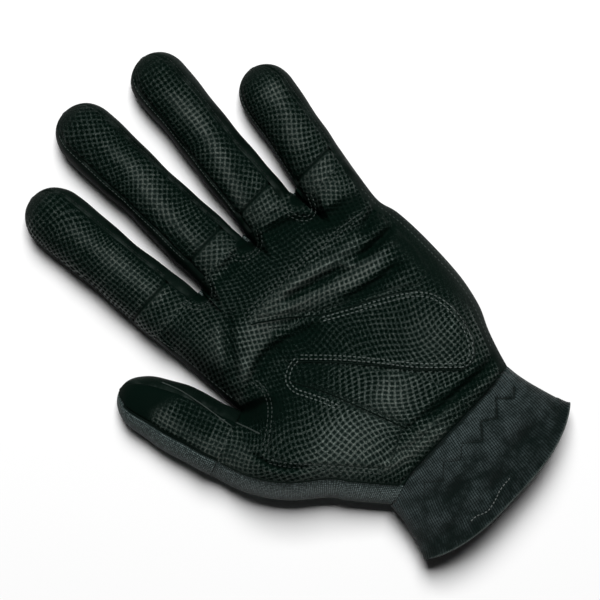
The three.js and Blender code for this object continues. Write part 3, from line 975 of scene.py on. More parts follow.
# Streaks of painted highlight along the folds and the finger crests, and of painted shade in the creases
# where the amount is negative.
LIGHT_STREAKS = (
    LightStreak(
        ((-34.0, 119.0), (-22.0, 120.8), (-10.0, 121.2), (3.0, 119.0), (14.0, 116.2), (26.0, 113.2)),
        2.9,
        0.50,
    ),
    LightStreak(((22.0, 113.8), (34.0, 113.6), (43.0, 112.8)), 2.0, 0.26),
    LightStreak(
        (
            *((-32.0, 119.6), (-20.0, 117.8), (-10.0, 114.6), (0.0, 111.0), (10.0, 107.0)),
            *((20.0, 103.4), (30.0, 100.6), (44.0, 99.4)),
        ),
        3.0,
        0.46,
    ),
    LightStreak(((19.0, 113.0), (23.5, 107.8), (32.0, 103.0)), 1.8, 0.3),
    LightStreak(((-8.0, 118.0), (6.0, 113.6), (16.0, 110.6), (24.0, 108.4)), 1.7, -0.4),
    LightStreak(((-45.0, 104.5), (-36.0, 110.5), (-28.0, 114.0), (-14.0, 116.0)), 4.0, 0.42),
    LightStreak(((-45.0, 118.0), (-38.0, 126.0), (-29.0, 133.0)), 4.5, 0.24),
    LightStreak(((-42.0, 104.0), (-28.0, 108.0), (-14.0, 104.6), (2.0, 96.0)), 3.4, -0.4),
    LightStreak(((-56.0, 99.4), (-47.0, 95.0), (-36.0, 89.4)), 4.4, -1.3),
    LightStreak(((-61.0, 86.0), (-60.0, 78.0), (-56.5, 71.5), (-49.0, 63.5)), 1.3, -0.6),
    LightStreak(((22.0, 135.0), (31.0, 127.8), (40.0, 126.4), (50.0, 121.4)), 3.6, -1.0),
    LightStreak(((23.0, 107.8), (34.0, 106.8), (49.0, 105.6)), 1.7, -0.9),
    LightStreak(((33.0, 115.0), (43.0, 112.8), (52.0, 116.4)), 2.0, -0.8),
    LightStreak(((5.0, 102.6), (18.0, 97.4), (28.0, 96.2), (43.0, 92.6)), 3.0, -0.6),
    LightStreak(((-27.0, 143.0), (-14.0, 143.4), (-1.0, 145.0)), 2.0, -0.45),
    LightStreak(((6.0, 143.0), (16.0, 140.6), (24.0, 135.0)), 2.4, -0.45),
    LightStreak(((-34.0, 41.6), (-20.0, 37.5), (-8.0, 34.6), (6.0, 32.4)), 2.4, 0.5),
    LightStreak(((-28.0, 43.4), (-12.0, 39.6), (2.0, 38.6), (15.0, 36.6)), 1.6, 0.34),
    LightStreak(((-2.0, 41.4), (14.0, 40.8), (26.0, 39.6), (40.0, 39.2)), 2.6, -0.7),
    LightStreak(((-40.5, 150.0), (-42.0, 175.0), (-43.0, 188.0), (-46.0, 214.0)), 3.2, 0.44),
    LightStreak(((-13.5, 148.0), (-13.0, 178.0), (-11.0, 192.0), (-9.0, 205.0), (-9.5, 226.0)), 2.9, 0.52),
    LightStreak(((7.0, 148.0), (18.0, 175.0), (22.0, 188.0), (24.0, 200.0), (23.0, 221.0)), 2.9, 0.58),
    LightStreak(((43.0, 152.0), (48.0, 165.0), (53.0, 176.0), (57.0, 186.0)), 3.4, 0.36),
    LightStreak(((-71.0, 76.0), (-75.5, 98.0), (-78.5, 132.0)), 5.5, 0.50),
    LightStreak(((-62.0, 94.0), (-66.0, 110.0), (-70.0, 128.0)), 3.4, -0.25),
)


def painted_light_and_polish(points: Array, start: float) -> Array:
    """Painted light and polished wear of the leather: painted highlights along the crests of the folds and
    fingers and where the hand presses, painted shade in the hollows and creases.

    Args:
        points: Plan points.
        start: Level of painted light and wear away from every mark.

    Returns:
        The painted light and wear at each point, about 0 where dark with painted shade and 1 where pale with
        painted highlight and polished wear.
    """
    x, y = points.T
    lit_and_worn = np.full(len(points), start)
    for touch in LIGHT_PATCHES:
        lit_and_worn += touch.rise(x, y)
    for streak in LIGHT_STREAKS:
        path = spline(streak.line)
        near = close_by(points, path, 3.0 * streak.width)
        if near.any():
            distance, along, _ = nearest(points[near], path)
            lit_and_worn[near] += streak.amount * taper(along) * np.exp(-((distance / streak.width) ** 2))
    return lit_and_worn


# Fingers and thumb


@dataclass(frozen=True)
class StallPanel:
    """One panel of a finger or thumb, between two seam angles and two places along the stall."""

    name: str
    angles: Pair
    reach: Pair
    slot: Slot
    material: Material
    motion: str | Bend
    nodes: tuple[str, ...] = ()


@dataclass(frozen=True)
class Stall:
    """The closed tube of one finger or of the thumb.

    Attributes:
        name: Name of the finger.
        base: Plan place of the middle of its mouth.
        splay: Turn towards the little finger, in degrees.
        length: Length from the mouth to the tip.
        widths: Width at the mouth, at the waist and where the fingertip swells.
        bend: Place of the joint along it.
        base_panel: Length of the short panel at its mouth.
        heights: Height of the palm side at the mouth and at the tip.
        tip_round: Length of the rounded tip.
        square: Whether the mouth is square to the stall, and not along the knuckle line.
        seams: Seam angles, from the little-finger side of the front round to the back's far seam.
        phase: Start of the slight unevenness along it.
        bare_from: Place along it where the front leather turns plain.
        welt: Angle of the welt at the mouth and at the tip, beyond which the front leather is plain.
        base_turn: Turn of the dimples on the short panel at its mouth, in degrees.
        twist: Places along it and the turn of the dimples there, in degrees.
    """

    name: str
    base: Pair
    splay: float
    length: float
    widths: tuple[float, float, float]
    bend: float
    base_panel: float
    heights: Pair = (FINGER_HEIGHT, FINGERTIP_HEIGHT)
    tip_round: float = 13.0
    square: bool = False
    seams: tuple[float, float, float, float] = (55.0, 134.0, 226.0, 314.0)
    phase: float = 0.0
    bare_from: float = 1000.0
    welt: Pair = (0.0, 0.0)
    base_turn: float = 0.0
    twist: Plan = ((0.0, 0.0), (100.0, 0.0))

    LEATHER_STEP = 0.52
    FABRIC_STEP = 1.0
    KNIT = (0.9, 0.8)
    SEAM_WIDTH = 0.8
    SIDE_DIP = 0.7
    SEAM_DIP = 1.0
    MOUTH_LIGHT_LEVEL = 0.60
    FRONT_LIGHT_LEVEL = 0.37
    BACK_LIGHT_LEVEL = 0.4

    def along(self) -> Array:
        """Plan direction of the stall."""
        turn = math.radians(self.splay)
        return np.array([math.sin(turn), math.cos(turn)])

    def across(self, s: Array) -> Array:
        """Plan direction across the stall, which starts along the knuckle line."""
        way = self.along()
        square = np.array([way[1], -way[0]])
        if self.square:
            return np.broadcast_to(square, (*np.shape(s), 2))
        share = smooth(s, 0.0, self.bend)[..., None]
        mixed = lerp(np.array([1.0, 0.0]), square, share)
        return mixed / np.linalg.norm(mixed, axis=-1, keepdims=True)

    def width(self, s: Array) -> Array:
        """Width of the stall, before its tip is rounded."""
        waist, swell = 0.45 * self.length, 0.78 * self.length
        first = lerp(self.widths[0], self.widths[1], smooth(s, 0.0, waist))
        return lerp(first, self.widths[2], smooth(s, waist, swell))

    def surface(self, s: Array, angle: Array, lift: Array | float = 0.0) -> Array:
        """Place points on the stall.

        Args:
            s: Place along the stall.
            angle: Angle round it in degrees, 0 to the little finger and 90 up.
            lift: Distance out from the plain form.

        Returns:
            Hand-frame points.
        """
        tip = np.clip(s - (self.length - self.tip_round), 0.0, self.tip_round) / self.tip_round
        share = np.sqrt(np.clip(1.0 - tip**2, 0.0, 1.0))
        height = lerp(self.heights[0], self.heights[1], np.clip(s / (self.length - self.tip_round), 0.0, 1.0))
        full = height + FLOOR_SINK
        middle = WIDEST_SHARE * full - FLOOR_SINK
        turn = np.radians(angle)
        half_width = self.width(s) / 2 * share + lift
        half_height = np.where(np.sin(turn) > 0.0, 1.0 - WIDEST_SHARE, WIDEST_SHARE) * full * share + lift
        power = 2.0 / np.where(np.sin(turn) > 0.0, CROWN_POWER, SECTION_POWER)
        x = bulge(np.cos(turn), power) * half_width
        rise = bulge(np.sin(turn), power) * half_height
        z = np.maximum(rise + middle, 0.0)
        reach = s + np.where(tip > 0.0, lift, 0.0) * tip
        plan = np.array(self.base) + reach[..., None] * self.along() + x[..., None] * self.across(s)
        return np.concatenate([plan, z[..., None]], axis=-1)

    def unevenness(self, s: Array, angle: Array) -> Array:
        """Slight hollows and folds of a stall with no finger in it."""
        turn = np.radians(angle)
        slow = np.sin(s / 7.3 + self.phase) * np.cos(turn * 1.5 + self.phase * 2.1)
        quick = np.sin(s / 3.1 + 1.7 * self.phase + 2.0 * turn)
        crease = np.exp(-(((s - self.bend) / 1.6) ** 2)) + 0.6 * np.exp(-(((s - self.bend - 5.2) / 1.3) ** 2))
        front = np.clip(np.sin(turn), 0.0, 1.0)
        fade = smooth(s, 0.0, 8.0) * (1.0 - smooth(s, self.length - 8.0, self.length))
        return (0.38 * slow + 0.12 * quick - 0.2 * crease * front) * fade

    def lattice(self, s: Array, across: Array, at_mouth: bool) -> tuple[Array, Array]:
        """Lay the dimples along a line that turns on its way to the tip.

        Args:
            s: Place along the stall.
            across: Place across its front.
            at_mouth: Whether this is the short panel at the mouth.

        Returns:
            The place along both lattice directions, in pitches.
        """
        table = np.linspace(-5.0, self.length + 5.0, 200)
        path = spline(self.twist)
        turn = np.radians(np.interp(table, path[:, 0], path[:, 1]))
        if at_mouth:
            turn[:] = math.radians(self.base_turn)
        step = table[1] - table[0]
        aside = np.interp(s, table, np.cumsum(np.sin(turn)) * step)
        ahead = np.interp(s, table, np.cumsum(np.cos(turn)) * step)
        local = np.interp(s, table, turn)
        p = across * np.cos(local) + aside
        q = ahead - across * np.sin(local)
        return p / FINGER_PITCH, q / FINGER_PITCH

    def build_panel(self, shop: Workshop, panel: StallPanel) -> bpy.types.Object:
        """Make one panel of the stall.

        Args:
            shop: Workshop that it is made in.
            panel: Seams, reach and finish of the panel.

        Returns:
            The finished piece.
        """
        leather = panel.slot is Slot.DIMPLED
        step = self.LEATHER_STEP if leather else self.FABRIC_STEP
        table = np.linspace(panel.angles[0], panel.angles[1], 241)
        girth = self.surface(np.full_like(table, 0.4 * self.length), table)
        run = run_along(girth)
        columns = max(8, math.ceil(run[-1] / step))
        rows = max(4, math.ceil((panel.reach[1] - panel.reach[0]) / step))
        grid = Panel(shop, panel.name, columns, rows)
        u, v = grid.spots().T
        s = lerp(panel.reach[0], panel.reach[1], v)
        ahead = s - (self.length - self.tip_round)
        if panel.reach[1] >= self.length:
            quarter = np.clip(ahead / self.tip_round, 0.0, 1.0) * math.pi / 2
            s = np.where(ahead > 0.0, self.length - self.tip_round + self.tip_round * np.sin(quarter), s)
        girth_at = u * run[-1]
        angle = np.interp(girth_at, run, table)
        side = np.minimum(girth_at, run[-1] - girth_at)
        sewn = leather and not self.square
        seam = np.abs(s - self.base_panel) if sewn else np.full_like(s, self.length)
        lift = self.unevenness(s, angle)
        lift -= self.SIDE_DIP * np.exp(-((side / self.SEAM_WIDTH) ** 2))
        lift -= self.SEAM_DIP * np.exp(-((seam / self.SEAM_WIDTH) ** 2))
        drift = wander(girth_at + 40.0 * self.phase, s + 17.0 * self.phase)
        at_mouth = panel.reach[0] == 0.0
        p, q = self.lattice(s + drift[1], girth_at - run[-1] / 2 + drift[0], at_mouth)
        ragged = s + 6.0 * (1.0 - u) ** 2 + 0.8 * np.sin(7.0 * u)
        bare = smooth(ragged, self.bare_from - 4.0, self.bare_from + 3.0)
        bare = np.maximum(bare, 0.75 * smooth(s, self.length - 9.0, self.length - 2.0))
        bare = np.maximum(bare, smooth(lerp(*self.welt, s / self.bare_from) - angle, -2.0, 2.0))
        if leather:
            fade = smooth(side, 0.4, 1.6) * smooth(seam, 0.3, 1.3) * (1.0 - bare)
            fade *= 1.0 - smooth(s, self.length - 5.0, self.length)
            lift -= DIMPLE_DEPTH * dimples(p, q) * fade
        bare = np.maximum(bare, np.exp(-((np.minimum(side, seam) / 0.7) ** 2)))
        points = self.surface(s, angle, lift)
        core = np.array(self.base) + np.minimum(s, self.length - self.tip_round)[:, None] * self.along()
        grid.shape(points, points - np.column_stack([core, np.full_like(s, CORE_HEIGHT)]))
        knit = [girth_at / self.KNIT[0], s / self.KNIT[1]]
        grid.map(np.column_stack([p, q] if leather else knit))
        grid.paint("bare", bare)
        grid.paint("wear", np.exp(-((np.minimum(side, seam) / 1.4) ** 2)))
        # Painted light on the stall leather: painted highlight on the short panels at the mouth and along the
        # crests, lighter on the rises of the unevenness and painted shade in its hollows, darker towards the
        # tip, and painted shade along the side seams. The fabric takes one even level.
        lit_and_worn = painted_light_and_polish(points[:, :2], self.MOUTH_LIGHT_LEVEL if at_mouth else self.FRONT_LIGHT_LEVEL)
        lit_and_worn += 0.25 * self.unevenness(s, angle)
        lit_and_worn -= 0.2 * smooth(s, self.length - 20.0, self.length - 4.0)
        lit_and_worn -= 0.3 * (1.0 - smooth(side, 0.5, 5.0))
        grid.paint("light_and_wear", lit_and_worn if leather else np.full_like(s, self.BACK_LIGHT_LEVEL))
        wall = FABRIC_WALL if panel.slot is Slot.STRETCH else LEATHER_WALL
        piece = grid.finish(wall, panel.material)
        shop.carry(piece, panel.slot, panel.motion, panel.nodes)
        return piece

    def seam_row(self, reach: Pair, angles: Pair, lift: float) -> tuple[Array, Array]:
        """Trace a line of stitching along the stall.

        Args:
            reach: Places along the stall that it runs between.
            angles: Angles round the stall at both ends.
            lift: Distance out from the plain form.

        Returns:
            The line's points and the direction away from the surface at each.
        """
        s = np.linspace(reach[0], reach[1], 80)
        turn = np.linspace(angles[0], angles[1], 80)
        uneven = self.unevenness(s, turn)
        line = self.surface(s, turn, uneven + lift)
        out = self.surface(s, turn, uneven + lift + 1.0) - line
        return line, out / np.linalg.norm(out, axis=1, keepdims=True)


FINGERS = (
    Stall(
        "index",
        (-42.2, 147.2),
        -3.6,
        78.5,
        (27.2, 26.0, 26.2),
        40.0,
        12.0,
        seams=(43.0, 168.0, 226.0, 317.0),
        phase=0.4,
        base_turn=28.0,
        twist=((0.0, 3.0), (34.0, 5.0), (48.0, 29.0), (57.0, 27.0), (67.0, 4.0), (80.0, 0.0)),
    ),
    Stall(
        "middle",
        (-12.2, 149.2),
        0.4,
        91.0,
        (27.0, 25.4, 26.4),
        46.0,
        9.0,
        seams=(35.0, 133.0, 226.0, 325.0),
        phase=2.1,
        base_turn=44.0,
        twist=((0.0, 4.0), (18.0, 8.0), (31.0, 38.0), (46.0, 42.0), (58.0, 24.0), (72.0, 36.0), (92.0, 40.0)),
    ),
    Stall(
        "ring",
        (15.9, 148.2),
        8.0,
        84.5,
        (26.0, 24.2, 24.6),
        42.0,
        8.0,
        seams=(48.0, 141.0, 226.0, 312.0),
        phase=3.7,
        base_turn=12.0,
        twist=((0.0, 45.0), (22.0, 46.0), (36.0, 36.0), (50.0, 6.0), (86.0, 2.0)),
    ),
    Stall(
        "little",
        (42.85, 140.2),
        13.5,
        56.5,
        (25.5, 24.2, 24.0),
        30.0,
        8.0,
        seams=(44.0, 154.0, 226.0, 316.0),
        phase=5.2,
        base_turn=33.0,
        twist=((0.0, 14.0), (18.0, 30.0), (30.0, 34.0), (42.0, 8.0), (58.0, 0.0)),
    ),
)
THUMB = Stall(
    "thumb",
    (-66.9, 95.46),
    -16.5,
    50.0,
    (30.0, 29.4, 24.6),
    24.0,
    7.0,
    heights=(18.0, 14.0),
    tip_round=15.0,
    square=True,
    seams=(46.0, 117.0, 117.0, 318.0),
    phase=1.3,
    bare_from=33.0,
    welt=(59.0, 31.0),
)


class Digits(Maker):
    """The four fingers and the thumb."""

    TURN = 8.0
    SLANT_LOSS = 0.8
    OVERLAP = 0.15
    SIDE_STITCH = StitchStyle(pitch=1.7, length=1.3, width=0.4, height=0.34)
    WELT = StitchStyle(pitch=1.0, length=1.6, width=0.5, height=0.5)
    SEAM = StitchStyle(pitch=0.9, length=1.8, width=1.0, height=0.5)

    def bend(self, stall: Stall, before: str, after: str, low: float, high: float) -> Bend:
        """Describe a turn between two places along a stall."""
        ends = [np.array(stall.base) + s * stall.along() for s in (low, high)]
        return Bend(before, after, (*ends[0].tolist(), FINGER_HEIGHT), (*ends[1].tolist(), FINGER_HEIGHT))

    def joint_bend(self, stall: Stall, before: str, after: str) -> Bend:
        """Describe the turn at the joint along a stall."""
        return self.bend(stall, before, after, stall.bend - self.TURN, stall.bend + self.TURN)

    def knuckle_bend(self, stall: Stall) -> Bend:
        """Describe the turn at a finger's mouth, square to the knuckle line that the mouth lies along."""
        slant = math.sin(math.radians(abs(stall.splay)))
        reach = stall.base_panel * (1.0 - self.SLANT_LOSS * slant) - self.OVERLAP
        x, y = stall.base
        return Bend("hand", f"{stall.name}_proximal", (x, y, FINGER_HEIGHT), (x, y + reach, FINGER_HEIGHT))

    def build_finger(self, stall: Stall) -> None:
        """Make the panels and seams of one finger."""
        name = stall.name
        low, high, back_low, back_high = stall.seams
        looks = self.finishes
        knuckle = self.knuckle_bend(stall)
        middle = self.joint_bend(stall, f"{name}_proximal", f"{name}_distal")
        root = (0.0, stall.base_panel + self.OVERLAP)
        whole = (stall.base_panel - self.OVERLAP, stall.length)
        sides = {
            "littleside_wall": ((back_high - 360.0, low), Slot.SMOOTH, looks.smooth),
            "thumbside_wall": ((high, back_low), Slot.SMOOTH, looks.smooth),
            "back": ((back_low, back_high), Slot.STRETCH, looks.stretch),
        }
        fronts = (f"{name}_front_lower", f"{name}_front_tip")
        base_node = (f"{name}_base_panel",)
        panels = [
            StallPanel(f"{name}_base", (low, high), root, Slot.DIMPLED, looks.dimpled, knuckle, base_node),
            StallPanel(f"{name}_front", (low, high), whole, Slot.DIMPLED, looks.dimpled, middle, fronts),
        ]
        for side, (angles, slot, finish) in sides.items():
            nodes = (f"{name}_{side}_lower", f"{name}_{side}_tip")
            panels.append(StallPanel(f"{name}_{side}_root", angles, root, slot, finish, knuckle))
            panels.append(StallPanel(f"{name}_{side}", angles, whole, slot, finish, middle, nodes))
        for panel in panels:
            stall.build_panel(self.shop, panel)
        for side, angle, thread in (
            ("littleside", low - 5.0, looks.dark_thread),
            ("thumbside", high + 5.0, looks.side_thread),
        ):
            line, out = stall.seam_row((stall.base_panel + 2.0, stall.length - 5.0), (angle, angle), -0.1)
            row = self.stitcher.row(f"{name}_{side}_stitches", [line], [out], self.SIDE_STITCH, thread)
            self.shop.carry(row, Slot.SMOOTH, middle, ())

    def build_thumb(self, stall: Stall) -> None:
        """Make the panels and seams of the thumb."""
        looks = self.finishes
        low, high, back_low, back_high = stall.seams
        ball = self.bend(stall, "hand", "thumb_base", 0.0, stall.base_panel)
        end = self.joint_bend(stall, "thumb_base", "thumb_end")
        root = (0.0, stall.base_panel)
        whole = (stall.base_panel, stall.length)
        kinds = {
            "front": ((low, high), Slot.DIMPLED, looks.dimpled),
            "inner_wall": ((back_high - 360.0, low), Slot.SMOOTH, looks.smooth),
            "back": ((back_low, back_high), Slot.STRETCH, looks.stretch),
        }
        for kind, (angles, slot, finish) in kinds.items():
            nodes = (f"thumb_{kind}_lower", f"thumb_{kind}_tip")
            stall.build_panel(self.shop, StallPanel(f"thumb_{kind}_root", angles, root, slot, finish, ball))
            stall.build_panel(self.shop, StallPanel(f"thumb_{kind}", angles, whole, slot, finish, end, nodes))
        line, out = stall.seam_row((1.0, stall.bare_from + 2.0), stall.welt, 0.15)
        row = self.stitcher.row("thumb_welt", [line], [out], self.WELT, looks.side_thread)
        self.shop.carry(row, Slot.SMOOTH, end, ())
        line, out = stall.seam_row((0.0, stall.length - 5.0), (high, high), -0.15)
        row = self.stitcher.row("thumb_seam", [line], [out], self.SEAM, looks.smooth)
        self.shop.carry(row, Slot.SMOOTH, end, ())


# Palm, back and cuff


@dataclass(frozen=True)
class Fold:
    """A crease, where the height is negative, or a ridge of the leather.

    Attributes:
        line: Plan points along it.
        height: Height at its middle.
        width: Half width of its section, to the left of its run.
        right_width: Half width to the right of its run, where it differs.
    """

    line: Plan
    height: float
    width: float
    right_width: float = 0.0

    def relief(self, points: Array) -> Array:
        """Height that the fold adds at plan points."""
        path = spline(self.line)
        rise = np.zeros(len(points))
        near = close_by(points, path, 4.0 * max(self.width, self.right_width))
        if not near.any():
            return rise
        distance, along, _ = nearest(points[near], path)
        width = np.full_like(distance, self.width)
        if self.right_width > 0.0:
            left = nearest(points[near], beside(path, 0.5))[0]
            right = nearest(points[near], beside(path, -0.5))[0]
            width = lerp(self.width, self.right_width, smooth(left - right, -0.7, 0.7))
        section = np.exp(-((distance / width) ** 2))
        if self.height < 0.0:
            lip = np.minimum(width, 2.0)
            section -= 0.25 * np.exp(-(((distance - 2.1 * lip) / (0.9 * lip)) ** 2))
        rise[near] = self.height * section * taper(along)
        return rise


FOLDS = (
    Fold(
        (
            *((-27.0, 146.5), (-17.0, 144.6), (-5.0, 144.6), (5.0, 143.8), (13.0, 140.8)),
            *((20.0, 137.4), (26.0, 132.5), (33.0, 128.2), (41.0, 126.0), (51.0, 122.0)),
        ),
        -2.6,
        3.4,
        7.5,
    ),
    Fold(((2.0, 148.0), (12.0, 147.0), (22.0, 146.0)), -0.8, 1.1),
    Fold(((-60.0, 102.0), (-52.0, 98.5), (-45.0, 95.5), (-38.0, 92.5)), -2.6, 2.6, 3.4),
    Fold(((27.0, 107.8), (36.0, 106.6), (49.0, 105.8)), -2.4, 1.6, 1.8),
    Fold(((36.0, 114.2), (44.0, 115.8), (53.0, 118.0)), -2.0, 1.7),
    Fold(((8.0, 100.8), (20.0, 97.0), (29.0, 94.8), (41.0, 94.0)), -1.8, 1.5, 3.0),
    Fold(((-8.0, 119.0), (9.0, 113.8), (20.0, 110.0)), -1.5, 1.5, 1.5),
    Fold(((-46.0, 108.0), (-37.0, 120.0), (-31.0, 127.0), (-22.0, 133.0)), -1.6, 3.4, 1.9),
    Fold(((-50.0, 100.5), (-37.0, 106.4), (-28.0, 108.4), (-19.0, 106.8), (0.0, 100.0)), -1.8, 1.7, 6.0),
    Fold(((-9.0, 42.2), (10.0, 40.2), (20.0, 39.0), (30.0, 38.0), (40.0, 39.5)), -2.0, 1.6, 3.2),
    Fold(((-14.0, 44.5), (0.0, 43.6), (14.0, 43.2)), -0.8, 1.2),
    Fold(
        ((-24.0, 121.6), (-10.0, 122.4), (2.0, 120.8), (10.0, 118.2), (20.0, 115.8), (38.0, 113.4)),
        1.3,
        1.4,
        4.2,
    ),
    Fold(
        (
            *((-24.0, 118.8), (-8.0, 115.6), (2.0, 111.6), (12.0, 107.6)),
            *((22.0, 104.2), (31.0, 102.4), (43.0, 103.0)),
        ),
        1.5,
        1.3,
        4.6,
    ),
    Fold(((20.0, 115.0), (23.5, 108.0), (32.0, 103.6)), 0.8, 1.6),
    Fold(((-44.0, 112.0), (-39.0, 122.0), (-30.0, 133.0)), 1.0, 4.2, 2.2),
    Fold(((-34.0, 42.4), (-20.0, 38.0), (-10.0, 36.0), (6.0, 33.4)), 0.9, 1.0, 2.4),
    Fold(((-22.0, 42.4), (-6.0, 39.4), (8.0, 36.8)), 0.8, 0.9, 1.9),
    Fold(((-4.0, 41.0), (10.0, 38.2), (20.0, 35.8), (34.0, 33.6)), 0.9, 1.0, 2.2),
    Fold(((-62.0, 88.0), (-60.5, 79.0), (-57.0, 71.5), (-48.0, 62.0)), -1.2, 1.1),
    Fold(((-14.0, 61.0), (-5.0, 65.5), (7.0, 67.0)), 0.4, 1.5, 4.0),
    Fold(((-12.0, 54.6), (-2.0, 57.5), (10.0, 58.0)), 0.4, 1.5, 4.0),
)

LITTLE_EDGE: Plan = (
    *((37.4, 30.6), (39.8, 38.0), (43.5, 47.5), (48.0, 56.5), (51.2, 68.0), (52.8, 80.0)),
    *((53.7, 96.0), (53.4, 109.0), (51.6, 117.5), (52.8, 127.0), (55.6, 140.0)),
)
THUMB_EDGE: Plan = (
    *((-37.6, 26.6), (-41.6, 31.6), (-45.2, 36.2), (-48.2, 40.2), (-50.4, 43.0), (-52.4, 46.6)),
    *((-55.6, 50.0), (-60.0, 53.8), (-64.2, 57.6), (-68.2, 62.2), (-71.4, 66.6)),
    *((-74.4, 71.8), (-77.0, 77.2), (-79.1, 83.2), (-81.28, 91.2)),
)
INDEX_EDGE: Plan = ((-52.5, 100.0), (-53.4, 112.0), (-54.0, 126.0), (-55.7, 147.0))
CROTCHES: tuple[Plan, ...] = (
    ((-28.2, 147.0), (-27.6, 146.7), (-26.8, 146.9), (-26.1, 147.6)),
    ((1.5, 149.6), (2.1, 149.8), (2.7, 149.4)),
    ((29.0, 147.6), (29.4, 146.4), (30.0, 145.8), (30.7, 146.5), (31.3, 147.6), (31.0, 144.0)),
)
WEB = (-52.5, 100.0)
WRIST_Y = 29.0
CUFF_HEIGHT = 18.0
SEAM_HEIGHT = 8.2
EDGE_ROLL = 15.0
BARE_SPOTS = ((-27.6, 146.4, 4.6), (0.6, 147.0, 4.4), (28.4, 143.0, 3.4))
BARE_WEB: Plan = ((-53.0, 98.0), (-48.0, 96.0), (-42.0, 94.0))


def seam_height(x: Array | float) -> Array:
    """Place along the hand of the seam between palm and cuff, at places across it."""
    return 30.9 + 0.9 * smooth(x, 26.0, 38.0) - 3.6 * smooth(-np.asarray(x), 26.5, 38.0)


class PalmForm:
    """Height of the palm side and of the back over the plan of the hand."""

    MIDLINE: Plan = (
        *((20.0, 17.6), (29.0, 18.0), (40.0, 19.4), (52.0, 20.9), (64.0, 22.0), (73.0, 21.9), (84.0, 20.4)),
        *((96.0, 18.4), (106.0, 17.6), (114.0, 18.6), (122.0, 19.8), (132.0, 19.2)),
        *((149.0, 17.0), (175.0, 17.0)),
    )
    RUN_ON = 25.0
    BALL = Swell((-48.0, 72.0), (22.0, 24.0), 3.0)
    HEEL = Swell((32.0, 64.0), (14.0, 20.0), 1.2)
    LIGHT_LEVEL = 0.40
    FOLD_SHADING = 0.15
    BACK_GAP = 0.4

    def __init__(self) -> None:
        """Trace the height along the hand and the side edges that the relief rolls down to."""
        self.rise = spline(self.MIDLINE)
        self.little = spline(LITTLE_EDGE)
        self.thumb = spline(THUMB_EDGE)
        self.index = spline(INDEX_EDGE)
        ahead = np.array([0.0, self.RUN_ON])
        past_thumb = self.thumb[-1] + self.RUN_ON * THUMB.along()
        self.edges = [
            np.vstack([self.little[0] - ahead, self.little, self.little[-1] + ahead]),
            np.vstack([self.thumb[0] - ahead, self.thumb, past_thumb]),
            np.vstack([self.index, self.index[-1] + ahead]),
        ]

    def roll(self, points: Array) -> Array:
        """Share of the full height at plan points: 0 at a side seam, 1 past the rolled edge."""
        least = np.min([nearest(points, edge)[0] for edge in self.edges], axis=0)
        share = np.clip(least / EDGE_ROLL, 0.0, 1.0)
        return (1.0 - (1.0 - share) ** 2) ** 0.72

    def scallop(self, points: Array, side: Facing) -> tuple[Array, Array]:
        """Height of the finger mouths and how far each point takes it.

        Args:
            points: Plan points.
            side: Palm side or back of the hand.

        Returns:
            The heights and the shares, 1 at the mouths and 0 further down the palm.
        """
        best = np.full(len(points), np.inf)
        height = np.full(len(points), SEAM_HEIGHT)
        share = np.zeros(len(points))
        sides = smooth(self.roll(points), 0.0, 0.3)
        for stall in FINGERS:
            half = stall.widths[0] / 2
            offset = np.abs(points[:, 0] - stall.base[0]) / half
            closer = offset < best
            best[closer] = offset[closer]
            full = FINGER_HEIGHT + FLOOR_SINK
            middle = WIDEST_SHARE * full - FLOOR_SINK
            rise = full * (1.0 - WIDEST_SHARE if side is Facing.UP else WIDEST_SHARE)
            power = CROWN_POWER if side is Facing.UP else SECTION_POWER
            arc = np.clip(1.0 - np.clip(offset, 0.0, 1.0) ** power, 0.0, 1.0) ** (1.0 / power)
            mouth = np.maximum(middle + side.value * rise * arc * sides, 0.0)
            height[closer] = mouth[closer]
            below = lerp(4.5, 15.0, smooth(offset, 0.55, 1.0))
            mouth_share = smooth(points[:, 1] - stall.base[1] + below, 0.0, below - 0.5)
            share[closer] = mouth_share[closer]
        return height, share

    @staticmethod
    def seam(points: Array) -> Array:
        """Height of the side seams, lower where the thumb and the index finger start."""
        ahead = (points - np.array(THUMB.base)) @ THUMB.along()
        low = WIDEST_SHARE * (THUMB.heights[0] + FLOOR_SINK) - FLOOR_SINK
        return lerp(SEAM_HEIGHT, low, smooth(ahead, -20.0, -1.0) * (1.0 - smooth(points[:, 0], -50.0, -42.0)))

    def plain(self, points: Array) -> Array:
        """Height of the palm side without its folds."""
        x, y = points.T
        full = np.interp(y, self.rise[:, 0], self.rise[:, 1])
        full += self.BALL.rise(x, y) + self.HEEL.rise(x, y)
        down = -((x - WEB[0]) * THUMB.along()[0] + (y - WEB[1]) * THUMB.along()[1])
        near_thumb = (1.0 - smooth(down, 0.0, 20.0)) * smooth(-x, 40.5, 56.5)
        near_thumb *= 1.0 - smooth(y, 118.0, 138.0)
        full = lerp(full, THUMB.heights[0], near_thumb)
        plain = lerp(self.seam(points), full, self.roll(points))
        mouth, share = self.scallop(points, Facing.UP)
        return lerp(plain, mouth, share)

    def top(self, points: Array) -> Array:
        """Height of the palm side with its folds."""
        share = self.scallop(points, Facing.UP)[1]
        calm = (1.0 - smooth(share, 0.75, 1.0)) * smooth(points[:, 1], WRIST_Y, WRIST_Y + 4.0)
        folds = np.sum([fold.relief(points) for fold in FOLDS], axis=0)
        return self.plain(points) + folds * calm * (0.25 + 0.75 * smooth(self.roll(points), 0.2, 0.8))

    def bottom(self, points: Array) -> Array:
        """Height of the back of the hand."""
        plain = (self.seam(points) - self.BACK_GAP) * (1.0 - self.roll(points))
        mouth, share = self.scallop(points, Facing.DOWN)
        return lerp(plain, mouth, share)

    def lift(self, points: Array) -> Array:
        """Direction away from the palm side at plan points."""
        step = 0.4
        slope_x = (self.top(points + (step, 0.0)) - self.top(points - (step, 0.0))) / (2 * step)
        slope_y = (self.top(points + (0.0, step)) - self.top(points - (0.0, step))) / (2 * step)
        out = np.column_stack([-slope_x, -slope_y, np.ones(len(points))])
        return out / np.linalg.norm(out, axis=1, keepdims=True)

